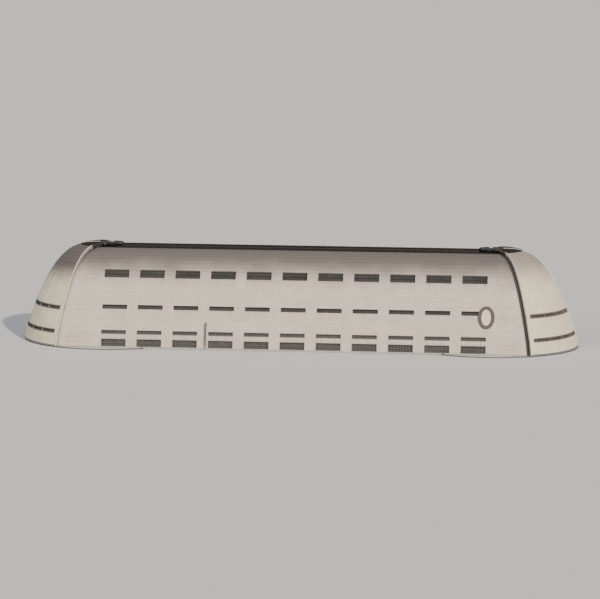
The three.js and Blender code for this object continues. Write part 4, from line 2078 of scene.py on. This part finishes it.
@dataclass
class CrownFittings:
    """The ridge monitor's louvres and flashing, and the ribs of the pin caps.

    Attributes:
        plan: The hangar's sizes.
        palette: The finishes.
        pitch: Distance between the monitor's posts.
        blades: Louvre blades, one above the other.
        ribs: Ribs on a pin cap.
    """

    plan: Plan
    palette: Palette
    pitch: float = 0.55
    blades: int = 3
    ribs: int = 12

    def build(self) -> None:
        """Builds the fittings."""
        dress(self._louvres(), self.palette.cap)
        dress(self._flashing(), self.palette.cap)
        cap = self._cap_ribs()
        for end in End:
            mirror = Matrix.Diagonal((end.value, 1, 1, 1))
            twin = copied(cap, f"cap_ribs_{end.label}", mirror)
            dress(twin, self.palette.cap)
        bpy.data.objects.remove(cap)

    def _posts(self) -> list[float]:
        """Middles of the monitor's posts along X, which its roof's seams share."""
        low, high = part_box("ridge_monitor")
        return spread(int((high.x - low.x - 0.1) / self.pitch) + 1, self.pitch)

    def _louvres(self) -> bpy.types.Object:
        """Posts and slanted blades along both sides of the monitor.

        Returns:
            The posts and blades, as one piece.
        """
        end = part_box("ridge_monitor")[1].x
        face, foot, eaves = 0.2, self.plan.barrel.crown + 0.004, self.plan.barrel.crown + 0.116
        parts = []
        for x in self._posts():
            low_corner, high_corner = (x - 0.015, face - 0.004, foot), (x + 0.015, face + 0.022, eaves)
            parts.append(block_between("post", low_corner, high_corner))
        step = (eaves - foot) / self.blades
        for i in range(self.blades):
            z = foot + step * i + 0.006
            slant = [(face + 0.016, z), (face - 0.002, z + step - 0.01)]
            blade = bowed_sheet("blade", slant, lambda y: end - 0.06, Side.BACK)
            thicken(blade, 0.004)
            parts.append(blade)
        side = join(parts, "monitor_louvres")
        twin = copied(side, "louvres_front", Matrix.Diagonal((1, -1, 1, 1)))
        return join([side, twin], "monitor_louvres")

    def _flashing(self) -> bpy.types.Object:
        """The ridge flashing and the standing seams of the monitor's roof.

        Returns:
            The flashing and the seams, as one piece.
        """
        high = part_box("ridge_monitor")[1]
        ridge, eaves, overhang = high.z, self.plan.barrel.crown + 0.135, 0.24
        slope = [(0.05, ridge - 0.006), (0.0, ridge + 0.006), (-0.05, ridge - 0.006)]
        parts = [bowed_sheet("ridge_flashing", slope, lambda y: high.x - 0.005, Side.BACK)]
        face_up(parts[0])
        thicken(parts[0], SHEET)
        seam = [(overhang + 0.002, eaves - 0.004), (overhang, eaves + 0.012), (0.03, ridge + 0.006)]
        for side in Side:
            rib = bowed_sheet("seam", seam, lambda y: 0.007, side)
            face_up(rib)
            thicken(rib, 0.014)
            parts += copies(rib, along_x(self._posts()))
        return join(parts, "monitor_flashing")

    def _cap_ribs(self) -> bpy.types.Object:
        """Radial ribs and a rolled rim on the right end's pin cap.

        Returns:
            The ribs and the rim, as one piece.
        """
        low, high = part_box("pin_cap_right")
        radius, rim, top = (high.x - low.x) / 2, low.z + 0.016, high.z
        line = [Vector((0.16, 0, top)), Vector((0.22, 0, top)), Vector((radius, 0, rim))]
        rib = tube(edge_chain("cap_rib", line), radius=0.009)
        start = Matrix.Translation((self.plan.pin, 0, 0))
        turns = [Matrix.Rotation(math.tau * i / self.ribs, 4, "Z") for i in range(self.ribs)]
        parts = copies(rib, [start @ turn for turn in turns])
        bpy.ops.mesh.primitive_torus_add(
            major_segments=48, minor_segments=8, major_radius=radius, minor_radius=0.011,
            location=(self.plan.pin, 0, (low.z + rim) / 2),
        )
        parts.append(named("cap_rim"))
        return join(parts, "cap_ribs")


@dataclass
class RunwayStops:
    """The buffer stops at both ends of each door runway.

    Attributes:
        plan: The hangar's sizes.
        palette: The finishes.
        rails: Radii of the two rails.
        angle: Degrees from the runway's middle to a stop.
    """

    plan: Plan
    palette: Palette
    rails: Point2 = (5.34, 5.392)
    angle: float = 119.0

    def build(self) -> None:
        """Builds one stop and places it at every runway end."""
        stop = self._stop()
        turn = Matrix.Rotation(math.radians(self.angle), 4, "Z")
        place = Matrix.Translation((self.plan.pin, 0, 0)) @ turn
        for end, side, mirror in quarters():
            twin = copied(stop, f"runway_stop_{end.label}_{side.label}", mirror @ place)
            dress(twin, self.palette.stop)
        bpy.data.objects.remove(stop)

    def _stop(self) -> bpy.types.Object:
        """A stop on the X axis: a foot plate, two posts with raked struts, a beam and a buffer.

        Returns:
            The stop.
        """
        base = self.plan.slab_top
        near, far = self.rails
        parts = [block_between("stop_foot", (near - 0.03, -0.05, base), (far + 0.03, 0.05, base + 0.014))]
        for radius in self.rails:
            low, high = (radius - 0.009, 0.01, base), (radius + 0.009, 0.034, base + 0.085)
            parts.append(block_between("stop_post", low, high))
            strut = edge_chain("stop_strut", [(radius, 0.05, base + 0.01), (radius, 0.022, base + 0.07)])
            parts.append(tube(strut, radius=0.006))
        low, high = (near - 0.02, -0.006, base + 0.05), (far + 0.02, 0.012, base + 0.08)
        parts.append(block_between("stop_beam", low, high))
        bpy.ops.mesh.primitive_cylinder_add(
            vertices=20, radius=0.014, depth=0.016, location=((near + far) / 2, -0.012, base + 0.065),
            rotation=(math.pi / 2, 0, 0),
        )
        parts.append(named("stop_buffer"))
        return join(parts, "runway_stop")


def dress_frame(palette: Palette) -> None:
    """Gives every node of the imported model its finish.

    Args:
        palette: The finishes.
    """
    finishes = {
        "floor_slab": palette.concrete,
        "crown_roof": palette.felt,
        "ridge_monitor": palette.felt,
        "wall_": palette.lining,
        "roof_": palette.lining,
        "glazing_upper": palette.glass_upper,
        "glazing_middle": palette.glass_upper,
        "glazing_": palette.glass,
        "end_arch_": palette.steel,
        "pin_cap_": palette.cap,
        "pin_cowl_": palette.cowl,
        "door_runway_": palette.rail,
        # The lining's grey also paints shade on the reveals between the ribbons' openings.
        "door_leaf_": palette.lining,
        "door_glazing_": palette.glass,
        "wheelset_": palette.steel,
    }
    for name in frame["nodes"]:
        start = next(key for key in finishes if name.startswith(key))
        data = bpy.data.objects[name].data
        data.materials.clear()
        data.materials.append(finishes[start])


def main() -> None:
    """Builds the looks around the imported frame."""
    logging.basicConfig(level=logging.INFO, format="%(name)s %(message)s")
    deselect()
    effects = Effects()
    Studio().build(effects)
    palette = Palette.mixed(effects)
    dress_frame(palette)
    plan = read_plan(frame)
    log.info("plan %s", plan)
    Barrel(plan, palette).build()
    DoorLeaf(plan, palette).build()
    WallFittings(plan, palette).build()
    Interior(plan, palette).build()
    CrownFittings(plan, palette).build()
    RunwayStops(plan, palette).build()


if __name__ == "__main__":
    main()
